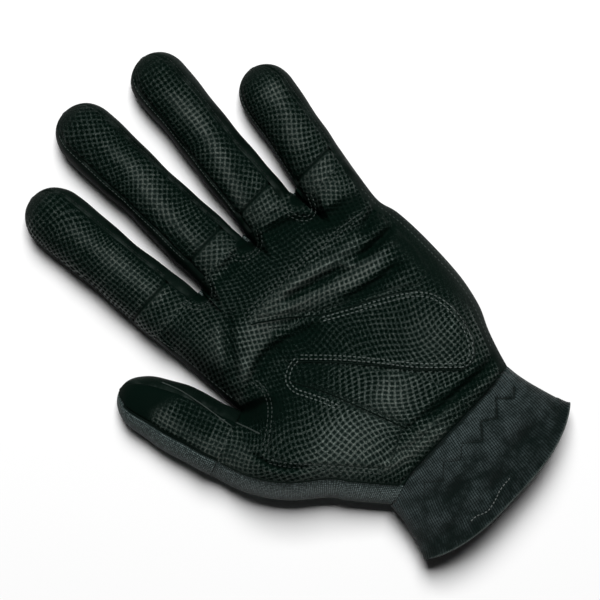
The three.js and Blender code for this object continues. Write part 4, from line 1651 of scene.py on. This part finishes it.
    @staticmethod
    def bare(points: Array) -> Array:
        """Where the leather of the palm has no dimples: the crotches, the thumb web and the far side."""
        x, y = points.T
        plain = np.zeros(len(points))
        for spot_x, spot_y, radius in BARE_SPOTS:
            distance = np.hypot(x - spot_x, y - spot_y)
            plain = np.maximum(plain, 1.0 - smooth(distance, 0.7 * radius, 1.15 * radius))
        web = nearest(points, np.array(BARE_WEB))[0]
        plain = np.maximum(plain, 0.7 * (1.0 - smooth(web, 0.5, 5.5)))
        side = smooth(x, 40.0, 46.0) * smooth(y, 55.0, 64.0) * (1.0 - smooth(y, 100.0, 112.0))
        return np.maximum(plain, 0.7 * side)

    def light_and_wear(self, points: Array) -> Array:
        """Painted light and polished wear of the palm leather: lighter on the folds, with painted shade in
        the creases.
        """
        folds = np.sum([fold.relief(points) for fold in FOLDS], axis=0)
        return painted_light_and_polish(points, self.LIGHT_LEVEL) + self.FOLD_SHADING * np.clip(folds, -1.5, 1.5)

    @staticmethod
    def mouths(points: Array) -> Array:
        """Where the leather runs on into a finger or the thumb with no edge: 1 at the mouths."""
        at = np.zeros(len(points))
        for stall in (*FINGERS, THUMB):
            way = stall.along() if stall.square else np.array([0.0, 1.0])
            offset = points - np.array(stall.base)
            aside = np.abs(offset @ np.array([way[1], -way[0]]))
            at = np.maximum(at, (aside < 0.42 * stall.widths[0]) & (np.abs(offset @ way) < 3.0))
        return at

    def knuckle_line(self) -> Array:
        """Line where the fingers start, from the index finger outwards, with rounded crotches."""
        corners: list[Pair] = []
        for k, stall in enumerate(FINGERS):
            half = stall.widths[0] / 2
            corners += [(stall.base[0] - half, stall.base[1]), (stall.base[0] + half, stall.base[1])]
            if k < len(CROTCHES):
                corners += list(CROTCHES[k])
        return np.array(corners)

    def strip_line(self) -> Array:
        """Edge of the palm leather beside the fabric strip at the thumb."""
        share = np.linspace(0.0, 1.0, len(self.thumb))[:, None]
        way = np.gradient(self.thumb, axis=0)
        way /= np.linalg.norm(way, axis=1, keepdims=True)
        inwards = np.column_stack([way[:, 1], -way[:, 0]])
        square = THUMB.across(np.zeros(1))[0]
        inwards = lerp(inwards, square, smooth(share, 0.7, 1.0))
        inwards = lerp(np.array([0.95, 0.31]), inwards, smooth(share, 0.0, 0.35))
        return self.thumb + lerp(9.6, 7.6, share) * inwards

    def outline(self, side: Array) -> Array:
        """Outline of the hand whose thumb edge is the given line."""
        wrist = [(x, seam_height(x)) for x in np.linspace(30.0, float(side[0, 0]) + 6.0, 9)]
        return np.vstack([side, [WEB], self.index[1:-1], self.knuckle_line(), self.little[:-1][::-1], wrist])


@dataclass(frozen=True)
class Patch:
    """A second layer of leather sewn on the palm.

    Attributes:
        name: Name of the piece and of the solid that it replaces.
        outline: Corners of the patch.
        turn: Turn of its grid, in degrees.
        lift: Height of its face above the palm panel.
        pitch: Distance between its dimples.
    """

    name: str
    outline: Plan
    turn: float
    lift: float
    pitch: float


HEEL_TOP: Plan = (
    *((-20.0, 120.2), (-10.0, 112.5), (0.0, 103.5), (10.0, 97.4)),
    *((20.0, 91.8), (29.0, 86.2), (35.4, 81.0)),
)
HEEL_END: Plan = (
    *((39.2, 75.0), (40.6, 67.0), (39.6, 58.0), (36.4, 50.0)),
    *((31.6, 44.6), (26.6, 43.0), (23.0, 44.5)),
)
HEEL_BOTTOM: Plan = ((10.0, 58.5), (0.0, 72.0), (-10.0, 84.5), (-20.0, 95.5))
HEEL_ROOT: Plan = ((-29.0, 101.0), (-27.0, 112.0))
WEDGE_TOP: Plan = (
    *((45.0, 82.0), (48.0, 92.0), (48.5, 105.0), (47.5, 115.0)),
    *((40.0, 116.6), (25.0, 119.6), (10.0, 121.6), (-5.0, 122.6), (-18.0, 122.8)),
)
TONGUE_END: Plan = ((16.0, 38.0), (-8.0, 38.0))
TONGUE_THUMB_SIDE: Plan = ((-10.0, 46.0), (-13.0, 55.0), (-18.0, 70.0), (-22.0, 81.0), (-26.5, 90.0))
THENAR_END: Plan = (
    *((-27.0, 38.5), (-33.0, 45.0), (-42.0, 56.5), (-52.0, 68.0)),
    *((-57.0, 76.0), (-57.5, 80.5), (-45.0, 88.0), (-33.0, 93.0)),
)


def shifted(points: Plan, dx: float, dy: float) -> Plan:
    """Move plan points."""
    return tuple((x + dx, y + dy) for x, y in points)


WHIRLS = (
    Whirl((-46.0, 138.0), 16.0, -25.0),
    Whirl((-5.0, 134.0), 13.0, -18.0),
    Whirl((15.0, 130.0), 12.0, -20.0),
    Whirl((40.0, 134.0), 9.0, 24.0),
    Whirl((-6.0, 97.0), 13.0, -38.0),
    Whirl((-33.0, 58.0), 18.0, -30.0),
    Whirl((-4.0, 62.0), 12.0, 24.0),
    Whirl((30.0, 58.0), 14.0, -22.0),
    Whirl((16.0, 78.0), 13.0, 15.0),
    Whirl((-40.0, 82.0), 13.0, 14.0),
    Whirl((-65.0, 88.0), 15.0, 46.0),
    Whirl((-24.0, 40.0), 9.0, -22.0),
)
PATCHES = (
    Patch("palm_wedge", (*shifted(HEEL_TOP, 0.6, 0.9), *WEDGE_TOP), 0.0, 0.55, 2.1),
    Patch(
        "palm_gusset",
        (*shifted(HEEL_BOTTOM, -0.6, -0.6), *TONGUE_THUMB_SIDE[::-1], *TONGUE_END[::-1]),
        4.0,
        0.5,
        2.15,
    ),
    Patch("thenar_patch", (*shifted(TONGUE_THUMB_SIDE, -0.8, 0.0)[::-1], *THENAR_END), 17.0, 0.75, 2.2),
    Patch("heel_patch", (*HEEL_TOP, *HEEL_END, *HEEL_BOTTOM, *HEEL_ROOT), 43.0, 0.95, 2.1),
)


@dataclass(frozen=True)
class Stitching:
    """Rows of stitches on the palm.

    Attributes:
        name: Name of the piece.
        line: Plan points of the line that the rows follow.
        offsets: Distance of each row to the left of the line.
        faint: Whether the thread is dark.
        style: Sizes of the stitches.
    """

    name: str
    line: Plan
    offsets: tuple[float, ...]
    faint: bool = True
    style: StitchStyle = StitchStyle()


SEAM = StitchStyle(pitch=0.9, length=1.8, width=0.75, height=0.4)
WELT = StitchStyle(pitch=0.9, length=1.7, width=0.6, height=0.5)
PALM_STITCHING = (
    Stitching("heel_seam", ((-22.4, 121.6), *HEEL_TOP), (-0.3,), style=SEAM),
    Stitching("heel_side_seam", (HEEL_END[-1], *HEEL_BOTTOM, (-24.0, 97.5)), (-0.3,), style=SEAM),
    Stitching("tongue_seam", (*TONGUE_THUMB_SIDE, (-28.0, 93.6)), (0.4,), style=SEAM),
    Stitching("heel_stitches", (*HEEL_TOP[2:], *HEEL_END), (-1.5, -3.1), False),
    Stitching("heel_side_stitches", (HEEL_END[-1], *HEEL_BOTTOM), (-1.5, -3.1), False),
    Stitching(
        "tongue_stitches",
        (
            *((-20.0, 97.0), (-24.5, 96.6), (-28.6, 94.2), (-29.4, 90.0)),
            *((-27.3, 85.0), (-24.6, 79.0), (-22.6, 73.0)),
        ),
        (0.0, -1.6),
        False,
    ),
    Stitching(
        "wedge_stitches",
        ((-22.0, 124.6), (-5.0, 124.2), (10.0, 123.2), (25.0, 121.2), (43.0, 117.8)),
        (0.0, 1.8),
    ),
    Stitching(
        "thumb_set_stitches",
        ((-31.0, 39.5), (-37.5, 48.0), (-46.5, 59.8), (-55.2, 70.5), (-60.0, 78.0)),
        (0.0, -1.7),
    ),
    Stitching("web_welt", ((-60.4, 104.4), (-56.9, 97.7), (-54.9, 92.6), (-53.4, 88.2)), (0.0,), style=WELT),
    Stitching(
        "web_stitches",
        ((-58.0, 82.5), (-50.0, 87.3), (-43.0, 93.0), (-39.8, 99.0), (-40.0, 104.5)),
        (0.0, -1.6),
    ),
    Stitching(
        "index_crotch_stitches",
        ((-34.0, 149.0), (-33.0, 144.4), (-30.4, 141.8), (-27.0, 141.4), (-23.4, 143.4), (-20.6, 148.4)),
        (0.0, -1.7),
    ),
    Stitching(
        "middle_crotch_stitches",
        ((-7.0, 149.0), (-5.8, 144.8), (-3.0, 142.2), (0.6, 141.6), (4.2, 142.8), (7.4, 146.6)),
        (0.0, -1.7),
    ),
    Stitching(
        "ring_crotch_stitches",
        ((22.0, 147.6), (22.6, 142.0), (24.0, 137.4), (26.8, 134.8), (30.0, 136.2), (32.6, 141.4)),
        (0.0, -1.7),
    ),
    Stitching(
        "index_side_stitches",
        ((-50.8, 106.0), (-51.6, 118.0), (-52.2, 132.0), (-53.6, 146.0)),
        (0.0,),
    ),
    Stitching(
        "little_side_stitches",
        ((50.0, 127.0), (49.6, 117.0), (50.8, 104.0), (50.2, 84.0), (48.6, 68.0), (44.6, 55.0), (38.6, 42.0)),
        (0.0, 1.8),
    ),
)


class Palm(Maker):
    """The hand part of the glove: palm leather, its patches, the fabric back and the side strip."""

    DETAIL = 4
    BACK_STEP = 1.1
    BACK_KNIT = 0.85
    BACK_LIGHT_LEVEL = 0.5
    STRIP_WALES = 17.0
    STRIP_COURSE = 0.8
    SEAM_RISE = 0.3
    STITCH_GAP = 0.02
    STRIP_COLUMNS = 18
    BAND_COLUMNS = 10
    BAND_WALL = 0.5
    LITTLE_BAND = 4.2
    INDEX_BAND = 2.2

    def __init__(self, shop: Workshop, stitcher: Stitcher, finishes: Finishes) -> None:
        """Keep what the hand is made with, and its form."""
        super().__init__(shop, stitcher, finishes)
        self.form = PalmForm()

    def cut_sheet(self, name: str, outline: Array, step: float, turn: float) -> tuple[Panel, Array, Array]:
        """Cut a grid to an outline.

        Args:
            name: Name of the piece.
            outline: Corners of the outline.
            step: Size of the grid's cells.
            turn: Turn of the grid, in degrees.

        Returns:
            The panel, the plan place of each vertex and its place in the turned grid.
        """
        angle = math.radians(turn)
        axes = np.array([[math.cos(angle), math.sin(angle)], [-math.sin(angle), math.cos(angle)]])
        turned = outline @ axes.T
        low = turned.min(axis=0) - step / 2
        cells = np.ceil((turned.max(axis=0) - low) / step).astype(int)
        size = cells * step
        panel = Panel(self.shop, name, int(cells[0]), int(cells[1]))
        panel.cut(lambda spots: inside(low + spots * size, turned))
        places = low + panel.spots() * size
        rim = panel.rim()
        places[rim] = nearest(places[rim], closed(turned))[2]
        return panel, places @ axes, places

    @staticmethod
    def rooted(name: str, plan: Array) -> Array:
        """Share of a patch's lift: the heel patch grows out of the palm leather with no edge at its root."""
        if name != "heel_patch":
            return np.ones(len(plan))
        root = np.array([*HEEL_ROOT, HEEL_TOP[0], HEEL_TOP[1]])
        return lerp(-0.8, 1.0, smooth(nearest(plan, root)[0], 0.5, 9.0))

    def cover(self, plan: Array) -> Array:
        """Height of the topmost patch over the palm leather at plan points."""
        rise = np.zeros(len(plan))
        for patch in PATCHES:
            within = inside(plan, np.array(patch.outline))
            share = patch.lift * np.maximum(self.rooted(patch.name, plan), 0.0)
            rise = np.where(within, np.maximum(rise, share), rise)
        return rise

    def build_stitching(self, rows: Stitching) -> None:
        """Lay rows of stitches on the palm."""
        middle = spline(rows.line)
        paths = []
        lifts = []
        for offset in rows.offsets:
            plan = beside(middle, offset)
            rise = self.cover(plan) if rows.style != SEAM else self.SEAM_RISE
            paths.append(np.column_stack([plan, self.form.top(plan) + rise + self.STITCH_GAP]))
            lifts.append(self.form.lift(plan))
        thread = self.finishes.side_thread if rows.faint else self.finishes.leather_thread
        thread = self.finishes.smooth if rows.style == SEAM else thread
        piece = self.stitcher.row(rows.name, paths, lifts, rows.style, thread)
        self.shop.carry(piece, Slot.DIMPLED, "hand", ())

    def build_leather(self, sheet: Patch) -> None:
        """Make one draped leather panel with pressed dimples."""
        name, lift = sheet.name, sheet.lift
        outline = np.array(sheet.outline)
        panel, plan, _ = self.cut_sheet(name, outline, sheet.pitch / self.DETAIL, sheet.turn)
        edge = nearest(plan, closed(outline))[0]
        edge = np.maximum(edge, 4.0 * self.form.mouths(plan))
        bare = self.form.bare(plan)
        moved = plan
        for whirl in WHIRLS:
            moved = whirl.move(moved)
        cells = grain(moved + np.column_stack(wander(*moved.T)), sheet.pitch)
        z = self.form.top(plan) + lift * self.rooted(name, plan)
        z -= DIMPLE_DEPTH * dimples(*cells.T) * (1.0 - bare) * smooth(edge, 0.4, 1.6)
        z -= (0.8 * lift + 0.3) * np.exp(-((edge / 1.0) ** 2))
        z -= 1.0 * np.exp(-(((plan[:, 1] - seam_height(plan[:, 0])) / 0.9) ** 2))
        bare = np.maximum(bare, np.exp(-((edge / 0.55) ** 2)))
        panel.drape(plan, z, Facing.UP)
        panel.map(cells)
        panel.paint("bare", bare)
        panel.paint("wear", np.exp(-((edge / 1.5) ** 2)))
        # Painted light and wear on the palm leather: painted highlights and painted shade from the listed
        # marks and folds.
        panel.paint("light_and_wear", self.form.light_and_wear(plan))
        piece = panel.finish(LEATHER_WALL, self.finishes.dimpled)
        self.shop.carry(piece, Slot.DIMPLED, "hand", (name,))

    def build_back(self) -> None:
        """Make the fabric back of the hand."""
        outline = self.form.outline(self.form.thumb)
        panel, plan, places = self.cut_sheet("back_panel", outline, self.BACK_STEP, 0.0)
        panel.drape(plan, self.form.bottom(plan), Facing.DOWN)
        panel.map(places / self.BACK_KNIT)
        panel.paint("light_and_wear", np.full(len(plan), self.BACK_LIGHT_LEVEL))
        piece = panel.finish(FABRIC_WALL, self.finishes.stretch)
        self.shop.carry(piece, Slot.STRETCH, "hand", ("back_panel",))

    def build_strip(self) -> None:
        """Make the fabric strip that shows beside the leather at the thumb."""
        rows = len(self.form.thumb) - 1
        panel = Panel(self.shop, "thumb_side_strip", self.STRIP_COLUMNS, rows)
        u, v = panel.spots().T
        row = np.rint(v * rows).astype(int)
        share = (1.0 - np.cos(u * math.pi / 2))[:, None]
        plan = lerp(self.form.thumb[row], self.form.strip_line()[row], share)
        z = self.form.top(plan) + 0.15 - 0.5 * np.exp(-(((1.0 - u) * 10.0 / 1.2) ** 2))
        panel.drape(plan, z, Facing.UP)
        panel.map(np.column_stack([u * self.STRIP_WALES, v * rows / self.STRIP_COURSE]))
        # Painted highlight along the strip's crest, less towards the thumb, and painted shade at its edges.
        ridge = np.exp(-(((u - 0.62) / 0.3) ** 2))
        panel.paint("light_and_wear", 0.15 + 0.65 * ridge * (1.0 - 0.45 * smooth(v, 0.55, 1.0)))
        piece = panel.finish(FABRIC_WALL, self.finishes.stretch)
        self.shop.carry(piece, Slot.STRETCH, "hand", ("thumb_side_strip",))

    def build_band(self, name: str, edge: Array, width: float) -> None:
        """Make a narrow band of plain leather along a side edge of the palm.

        Args:
            name: Name of the piece.
            edge: Line of the side edge.
            width: Width of the band, to the left of the line's run.
        """
        rows = len(edge) - 1
        panel = Panel(self.shop, name, self.BAND_COLUMNS, rows)
        u, v = panel.spots().T
        row = np.rint(v * rows).astype(int)
        share = (1.0 - np.cos(u * math.pi / 2))[:, None]
        plan = lerp(edge[row], beside(edge, width)[row], share)
        z = self.form.top(plan) + 0.3 - 0.35 * np.exp(-(((1.0 - u) * width / 0.8) ** 2))
        panel.drape(plan, z, Facing.UP)
        panel.paint("wear", np.zeros(len(u)))
        piece = panel.finish(self.BAND_WALL, self.finishes.smooth)
        self.shop.carry(piece, Slot.SMOOTH, "hand", ())

    def build(self) -> None:
        """Make every piece of the hand."""
        strip = self.form.strip_line()
        main = self.form.outline(strip)
        for sheet in (Patch("palm_panel", main.tolist(), 0.0, 0.0, PALM_PITCH), *PATCHES):
            self.build_leather(sheet)
        self.build_strip()
        self.build_stitching(Stitching("strip_seam", strip[2:-2].tolist(), (0.0,), style=SEAM))
        self.build_back()
        self.build_band("little_side_band", self.form.little, self.LITTLE_BAND)
        self.build_band("index_side_band", self.form.index[::-1], self.INDEX_BAND)
        for rows in PALM_STITCHING:
            self.build_stitching(rows)


CUFF_SWELLS = (
    Swell((-15.0, 12.0), (7.0, 3.6), -1.1),
    Swell((-23.0, 18.0), (5.0, 3.0), -0.8),
    Swell((0.0, 2.0), (6.5, 3.0), -1.1),
    Swell((22.0, 6.0), (8.0, 3.4), -1.2),
    Swell((39.0, 2.0), (5.0, 3.0), -0.8),
    Swell((-31.0, 3.0), (7.0, 3.0), -0.8),
    Swell((-11.0, 6.0), (6.0, 4.0), 0.9),
    Swell((20.0, 15.0), (9.0, 4.0), 0.9),
    Swell((-3.0, 23.0), (5.0, 3.0), 0.7),
    Swell((-28.0, 11.0), (6.0, 5.0), 0.7),
    Swell((6.0, 12.0), (5.0, 5.0), 0.5),
    Swell((33.0, 12.0), (5.0, 5.0), 0.6),
    Swell((-36.0, 20.0), (3.0, 6.0), 0.6),
)
ZIG_ZAG: Plan = (
    *((-27.0, 19.5), (-21.5, 24.0), (-16.0, 18.8), (-10.0, 24.0), (-4.5, 19.5), (1.0, 23.8)),
    *((7.5, 18.3), (13.0, 24.3), (18.5, 20.3), (24.3, 26.0), (29.5, 20.6), (33.0, 23.5)),
)
LOOSE_THREAD: Plan = ((-20.5, -1.0), (-17.0, -1.3), (-12.5, -3.2), (-7.0, -2.4), (-2.0, -1.0), (5.0, -0.6))


class Cuff(Maker):
    """The ribbed cuff with its hem, elastic and zig-zag stitching."""

    WRIST_WIDTH = 75.6
    MOUTH_WIDTH = 89.0
    TOP = 28.8
    MOUTH_Y = 1.0
    MOUTH_BOW = 9.0
    MOUTH_HEIGHT = 17.0
    FLARE = 1.6
    ASIDE = 0.5
    FOLD_END = 18.0
    COLUMNS = 170
    ROWS = 56.0
    RIB_SLANT = 12.0
    FLOAT_PITCH = 1.3
    HALVES = {"front": (0.0, 180.0), "back": (180.0, 360.0)}
    HEM_REACH = (0.70, 0.995)
    HEM_LIFT = -1.3
    ELASTIC_ANGLES = (30.0, 150.0)
    ELASTIC_REACH = (0.06, 0.34)
    ELASTIC_LIFT = -1.4
    ELASTIC_WALL = 0.8
    LIGHT_LEVEL = 0.37
    SWELL_SHADING = 0.27
    WRIST_LIGHTER = 0.31
    HEM_SHADE = 0.16
    ZIG_ZAG_STITCH = StitchStyle(pitch=1.5, length=1.5, width=0.42, height=0.3)
    MOUTH_EDGE = StitchStyle(pitch=0.8, length=1.6, width=0.7, height=0.7)
    LOOSE_STITCH = StitchStyle(pitch=1.7, length=1.3, width=0.6, height=0.5)

    def surface(self, t: Array, angle: Array, lift: Array | float = 0.0) -> Array:
        """Place points on the cuff.

        Args:
            t: 0 at the wrist seam and 1 at the mouth.
            angle: Angle round it in degrees, 0 to the little finger and 90 up.
            lift: Distance out from the plain form.

        Returns:
            Hand-frame points.
        """
        half_width = lerp(self.WRIST_WIDTH, self.MOUTH_WIDTH, np.maximum(t, 0.0) ** self.FLARE) / 2
        height = lerp(CUFF_HEIGHT, self.MOUTH_HEIGHT, t)
        middle = (height + FLOOR_SINK) / 2 - FLOOR_SINK
        half_height = (height + FLOOR_SINK) / 2
        turn = np.radians(angle)
        power = 2.0 / SECTION_POWER
        x = bulge(np.cos(turn), power) * (half_width + lift)
        rise = bulge(np.sin(turn), power) * (half_height + lift)
        z = np.maximum(rise + middle, 0.0)
        mouth = self.MOUTH_Y - self.MOUTH_BOW * (1.0 - np.clip(np.abs(x / half_width), 0.0, 1.0) ** 3)
        top = np.where(np.sin(turn) > 0.0, seam_height(x - self.ASIDE) + 0.9, self.TOP)
        y = lerp(top, mouth, t)
        return np.stack([x - self.ASIDE, y, z], axis=-1)

    @staticmethod
    def slack(x: Array, y: Array) -> Array:
        """Height of the swells and hollows of the cuff's face."""
        rise = np.zeros_like(x)
        for swell in CUFF_SWELLS:
            rise += swell.rise(x, y)
        return rise

    def waves(self, t: Array, angle: Array) -> Array:
        """Slack of the fabric: gathers at the seam, swells and hollows, the drawn-in zig-zag and the hem.

        Args:
            t: 0 at the wrist seam and 1 at the mouth.
            angle: Angle round the cuff in degrees.

        Returns:
            Distance out from the plain form.
        """
        place = self.surface(t, angle)
        x, y = place[..., 0], place[..., 1]
        turn = np.radians(angle)
        rise = 0.3 * np.sin(turn * 29.0) * np.exp(-((t / 0.16) ** 2)) - 1.6 * (1.0 - smooth(t, 0.025, 0.06))
        front = np.sin(turn) > 0.0
        swells = self.slack(x, y)
        draw = nearest(np.column_stack([x.ravel(), y.ravel()]), np.array(ZIG_ZAG))[0].reshape(x.shape)
        swells -= 0.40 * np.exp(-((draw / 0.9) ** 2))
        rise += np.where(front, swells, 0.3 * np.sin(turn * 7.0) * t)
        hem = 0.35 * smooth(t, 0.80, 0.84) + 0.35 * np.exp(-(((t - 0.985) / 0.02) ** 2))
        return rise + hem

    def build_half(self, name: str, angles: Pair, reach: Pair, lift: float) -> Panel:
        """Shape one half of a ring of the cuff.

        Args:
            name: Name of the piece.
            angles: Angles that it lies between.
            reach: Places from wrist to mouth that it lies between.
            lift: Distance out from the cuff's face.

        Returns:
            The shaped panel.
        """
        rows = max(6, math.ceil(self.ROWS * (reach[1] - reach[0])))
        panel = Panel(self.shop, name, self.COLUMNS, rows)
        u, v = panel.spots().T
        table = np.linspace(angles[0], angles[1], 361)
        girth = self.surface(np.full_like(table, 0.5), table)
        run = run_along(girth)
        angle = np.interp(u * run[-1], run, table)
        t = lerp(reach[0], reach[1], v)
        points = self.surface(t, angle, self.waves(t, angle) + lift)
        hub = np.column_stack([np.zeros(len(points)), points[:, 1], np.full(len(points), CORE_HEIGHT)])
        panel.shape(points, points - hub)
        slant = math.radians(self.RIB_SLANT)
        along = points[:, 1]
        across = u * run[-1]
        ribs = across * math.cos(slant) + along * math.sin(slant)
        floats = (along * math.cos(slant) - across * math.sin(slant)) / self.FLOAT_PITCH
        panel.map(np.column_stack([ribs, floats]))
        # Painted light on the cuff: lighter on the swells and painted shade in the hollows, lighter towards
        # the wrist seam, painted shade in the hem band and along the drawn-in zig-zag, a painted highlight
        # along the mouth's edge, and painted shade in the gap at the wrist seam.
        lit_and_worn = self.LIGHT_LEVEL + self.SWELL_SHADING * self.slack(points[:, 0], points[:, 1])
        lit_and_worn += self.WRIST_LIGHTER * (1.0 - smooth(t, 0.08, 0.5))
        lit_and_worn -= self.HEM_SHADE * smooth(t, 0.8, 0.9)
        drawn = nearest(points[:, :2], np.array(ZIG_ZAG))[0]
        lit_and_worn -= (0.18 + 0.34 * smooth(points[:, 0], 0.0, 12.0)) * np.exp(-((drawn / 0.6) ** 2))
        panel.paint("light_and_wear", lit_and_worn + 0.3 * smooth(t, 0.965, 0.985) - 1.2 * (1.0 - smooth(t, 0.03, 0.065)))
        return panel

    def trace(self, line: Array, lift: float) -> tuple[list[Array], list[Array]]:
        """Lay a plan line on the palm side of the cuff.

        Args:
            line: Plan points.
            lift: Distance out from the cuff's face.

        Returns:
            The line on the face and the direction away from it, each as a list of one.
        """
        run = run_along(line)
        at = np.arange(0.0, run[-1], 0.5)
        plan = np.column_stack([np.interp(at, run, line[:, k]) for k in range(2)])
        t, angle = np.meshgrid(np.linspace(0.0, 1.0, 161), np.linspace(8.0, 172.0, 329), indexing="ij")
        t, angle = t.ravel(), angle.ravel()
        face = self.surface(t, angle)
        near = [int(np.argmin(np.sum((face[:, :2] - spot) ** 2, axis=1))) for spot in plan]
        t, angle = t[near], angle[near]
        slack = self.waves(t, angle)
        points = self.surface(t, angle, slack + lift)
        points[:, :2] = plan
        out = self.surface(t, angle, slack + lift + 1.0) - self.surface(t, angle, slack + lift)
        return [points], [out / np.linalg.norm(out, axis=1, keepdims=True)]

    def build(self) -> None:
        """Make every piece of the cuff."""
        looks = self.finishes
        fold = Bend("hand", "cuff", (0.0, WRIST_Y, CUFF_HEIGHT), (0.0, self.FOLD_END, CUFF_HEIGHT))
        for half, angles in self.HALVES.items():
            shell = self.build_half(f"cuff_{half}", angles, (0.0, 1.0), 0.0)
            piece = shell.finish(FABRIC_WALL, looks.ribbed)
            self.shop.carry(piece, Slot.RIBBED, fold, (f"cuff_{half}",))
            hem = self.build_half(f"cuff_hem_{half}", angles, self.HEM_REACH, self.HEM_LIFT)
            piece = hem.finish(FABRIC_WALL, looks.ribbed)
            self.shop.carry(piece, Slot.RIBBED, "cuff", (f"cuff_hem_{half}",))
        band = self.build_half("wrist_elastic", self.ELASTIC_ANGLES, self.ELASTIC_REACH, self.ELASTIC_LIFT)
        piece = band.finish(self.ELASTIC_WALL, looks.elastic)
        self.shop.carry(piece, Slot.ELASTIC, fold, ("wrist_elastic",))
        drawn = self.trace(np.array(ZIG_ZAG), 0.0)
        piece = self.stitcher.row("zig_zag_stitches", *drawn, self.ZIG_ZAG_STITCH, looks.dark_thread)
        self.shop.carry(piece, Slot.RIBBED, fold, ())
        rim = self.surface(np.full(180, 0.99), np.linspace(10.0, 172.0, 180))[:, :2]
        piece = self.stitcher.row("mouth_edge", *self.trace(rim, 0.15), self.MOUTH_EDGE, looks.side_thread)
        self.shop.carry(piece, Slot.RIBBED, "cuff", ())
        loose = self.trace(spline(LOOSE_THREAD), 0.1)
        piece = self.stitcher.row("hem_thread", *loose, self.LOOSE_STITCH, looks.pale_thread)
        self.shop.carry(piece, Slot.RIBBED, "cuff", ())


# Studio


@dataclass(frozen=True)
class SoftBox:
    """One soft studio lamp, placed in the hand frame, with its width in metres and power in watts."""

    name: str
    place: tuple[float, float, float]
    size: float
    power: float
    glints: bool


@dataclass(frozen=True)
class Studio:
    """Floor, lamps and camera."""

    aim: tuple[float, float, float] = (-1.4, 113.6, 8.0)
    height: float = 840.0
    lens: float = 120.0
    sensor: float = 36.0
    turn: float = -47.0
    world: float = 0.008
    floor_size: float = 6.0
    floor_drop: float = 0.0003
    boxes: tuple[SoftBox, ...] = (
        SoftBox("top_box", (235.0, -140.0, 1000.0), 0.28, 3.8, True),
        SoftBox("key_box", (1400.0, 1420.0, 2530.0), 1.75, 144.0, False),
    )

    def build(self, shop: Workshop, finishes: Finishes) -> None:
        """Make the floor, the lamps, the world and the camera."""
        shop.deselect()
        bpy.ops.mesh.primitive_plane_add(size=self.floor_size, location=(0.0, 0.0, -self.floor_drop))
        floor = bpy.context.object
        floor.name = "floor"
        floor.data.materials.append(finishes.floor)
        target = np.array(shop.hand.spot(*self.aim))
        for box in self.boxes:
            lamp = bpy.data.lights.new(box.name, "AREA")
            lamp.size = box.size
            lamp.energy = box.power
            holder = bpy.data.objects.new(box.name, lamp)
            bpy.context.scene.collection.objects.link(holder)
            place = np.array(shop.hand.spot(*box.place))
            way = target - place
            holder.location = place
            holder.visible_glossy = box.glints
            if box.glints:
                shaded = bpy.data.collections.new("shaded_from_" + box.name)
                shaded.objects.link(floor)
                holder.light_linking.receiver_collection = shaded
                shaded.collection_objects[0].light_linking.link_state = "EXCLUDE"
            flat = math.hypot(way[0], way[1])
            holder.rotation_euler = (math.atan2(flat, -way[2]), 0.0, math.atan2(way[1], way[0]) - math.pi / 2)
        world = bpy.data.worlds.new("studio")
        world.use_nodes = True
        sky = world.node_tree.nodes["Background"]
        sky.inputs[0].default_value = (1.0, 1.0, 1.0, 1.0)
        sky.inputs[1].default_value = self.world
        bpy.context.scene.world = world
        lens = bpy.data.cameras.new("camera")
        lens.lens = self.lens
        lens.sensor_width = self.sensor
        camera = bpy.data.objects.new("camera", lens)
        bpy.context.scene.collection.objects.link(camera)
        x, y, z = self.aim
        camera.location = shop.hand.spot(x, y, z + self.height)
        camera.rotation_euler = (0.0, 0.0, math.radians(self.turn))
        bpy.context.scene.camera = camera
        bpy.context.scene.view_settings.view_transform = "Standard"


def main() -> None:
    """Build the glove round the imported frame."""
    logging.basicConfig(level=logging.INFO, format="%(name)s: %(message)s")
    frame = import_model()
    hand = HandFrame.from_knuckle(frame["joints"], "middle_knuckle", MIDDLE_KNUCKLE)
    shop = Workshop(hand)
    finishes = Finishes()
    Studio().build(shop, finishes)
    stitcher = Stitcher(shop)
    Palm(shop, stitcher, finishes).build()
    digits = Digits(shop, stitcher, finishes)
    for stall in FINGERS:
        digits.build_finger(stall)
    digits.build_thumb(THUMB)
    Cuff(shop, stitcher, finishes).build()
    log.info("%d pieces", shop.count)
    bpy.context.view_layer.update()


if __name__ == "__main__":
    main()
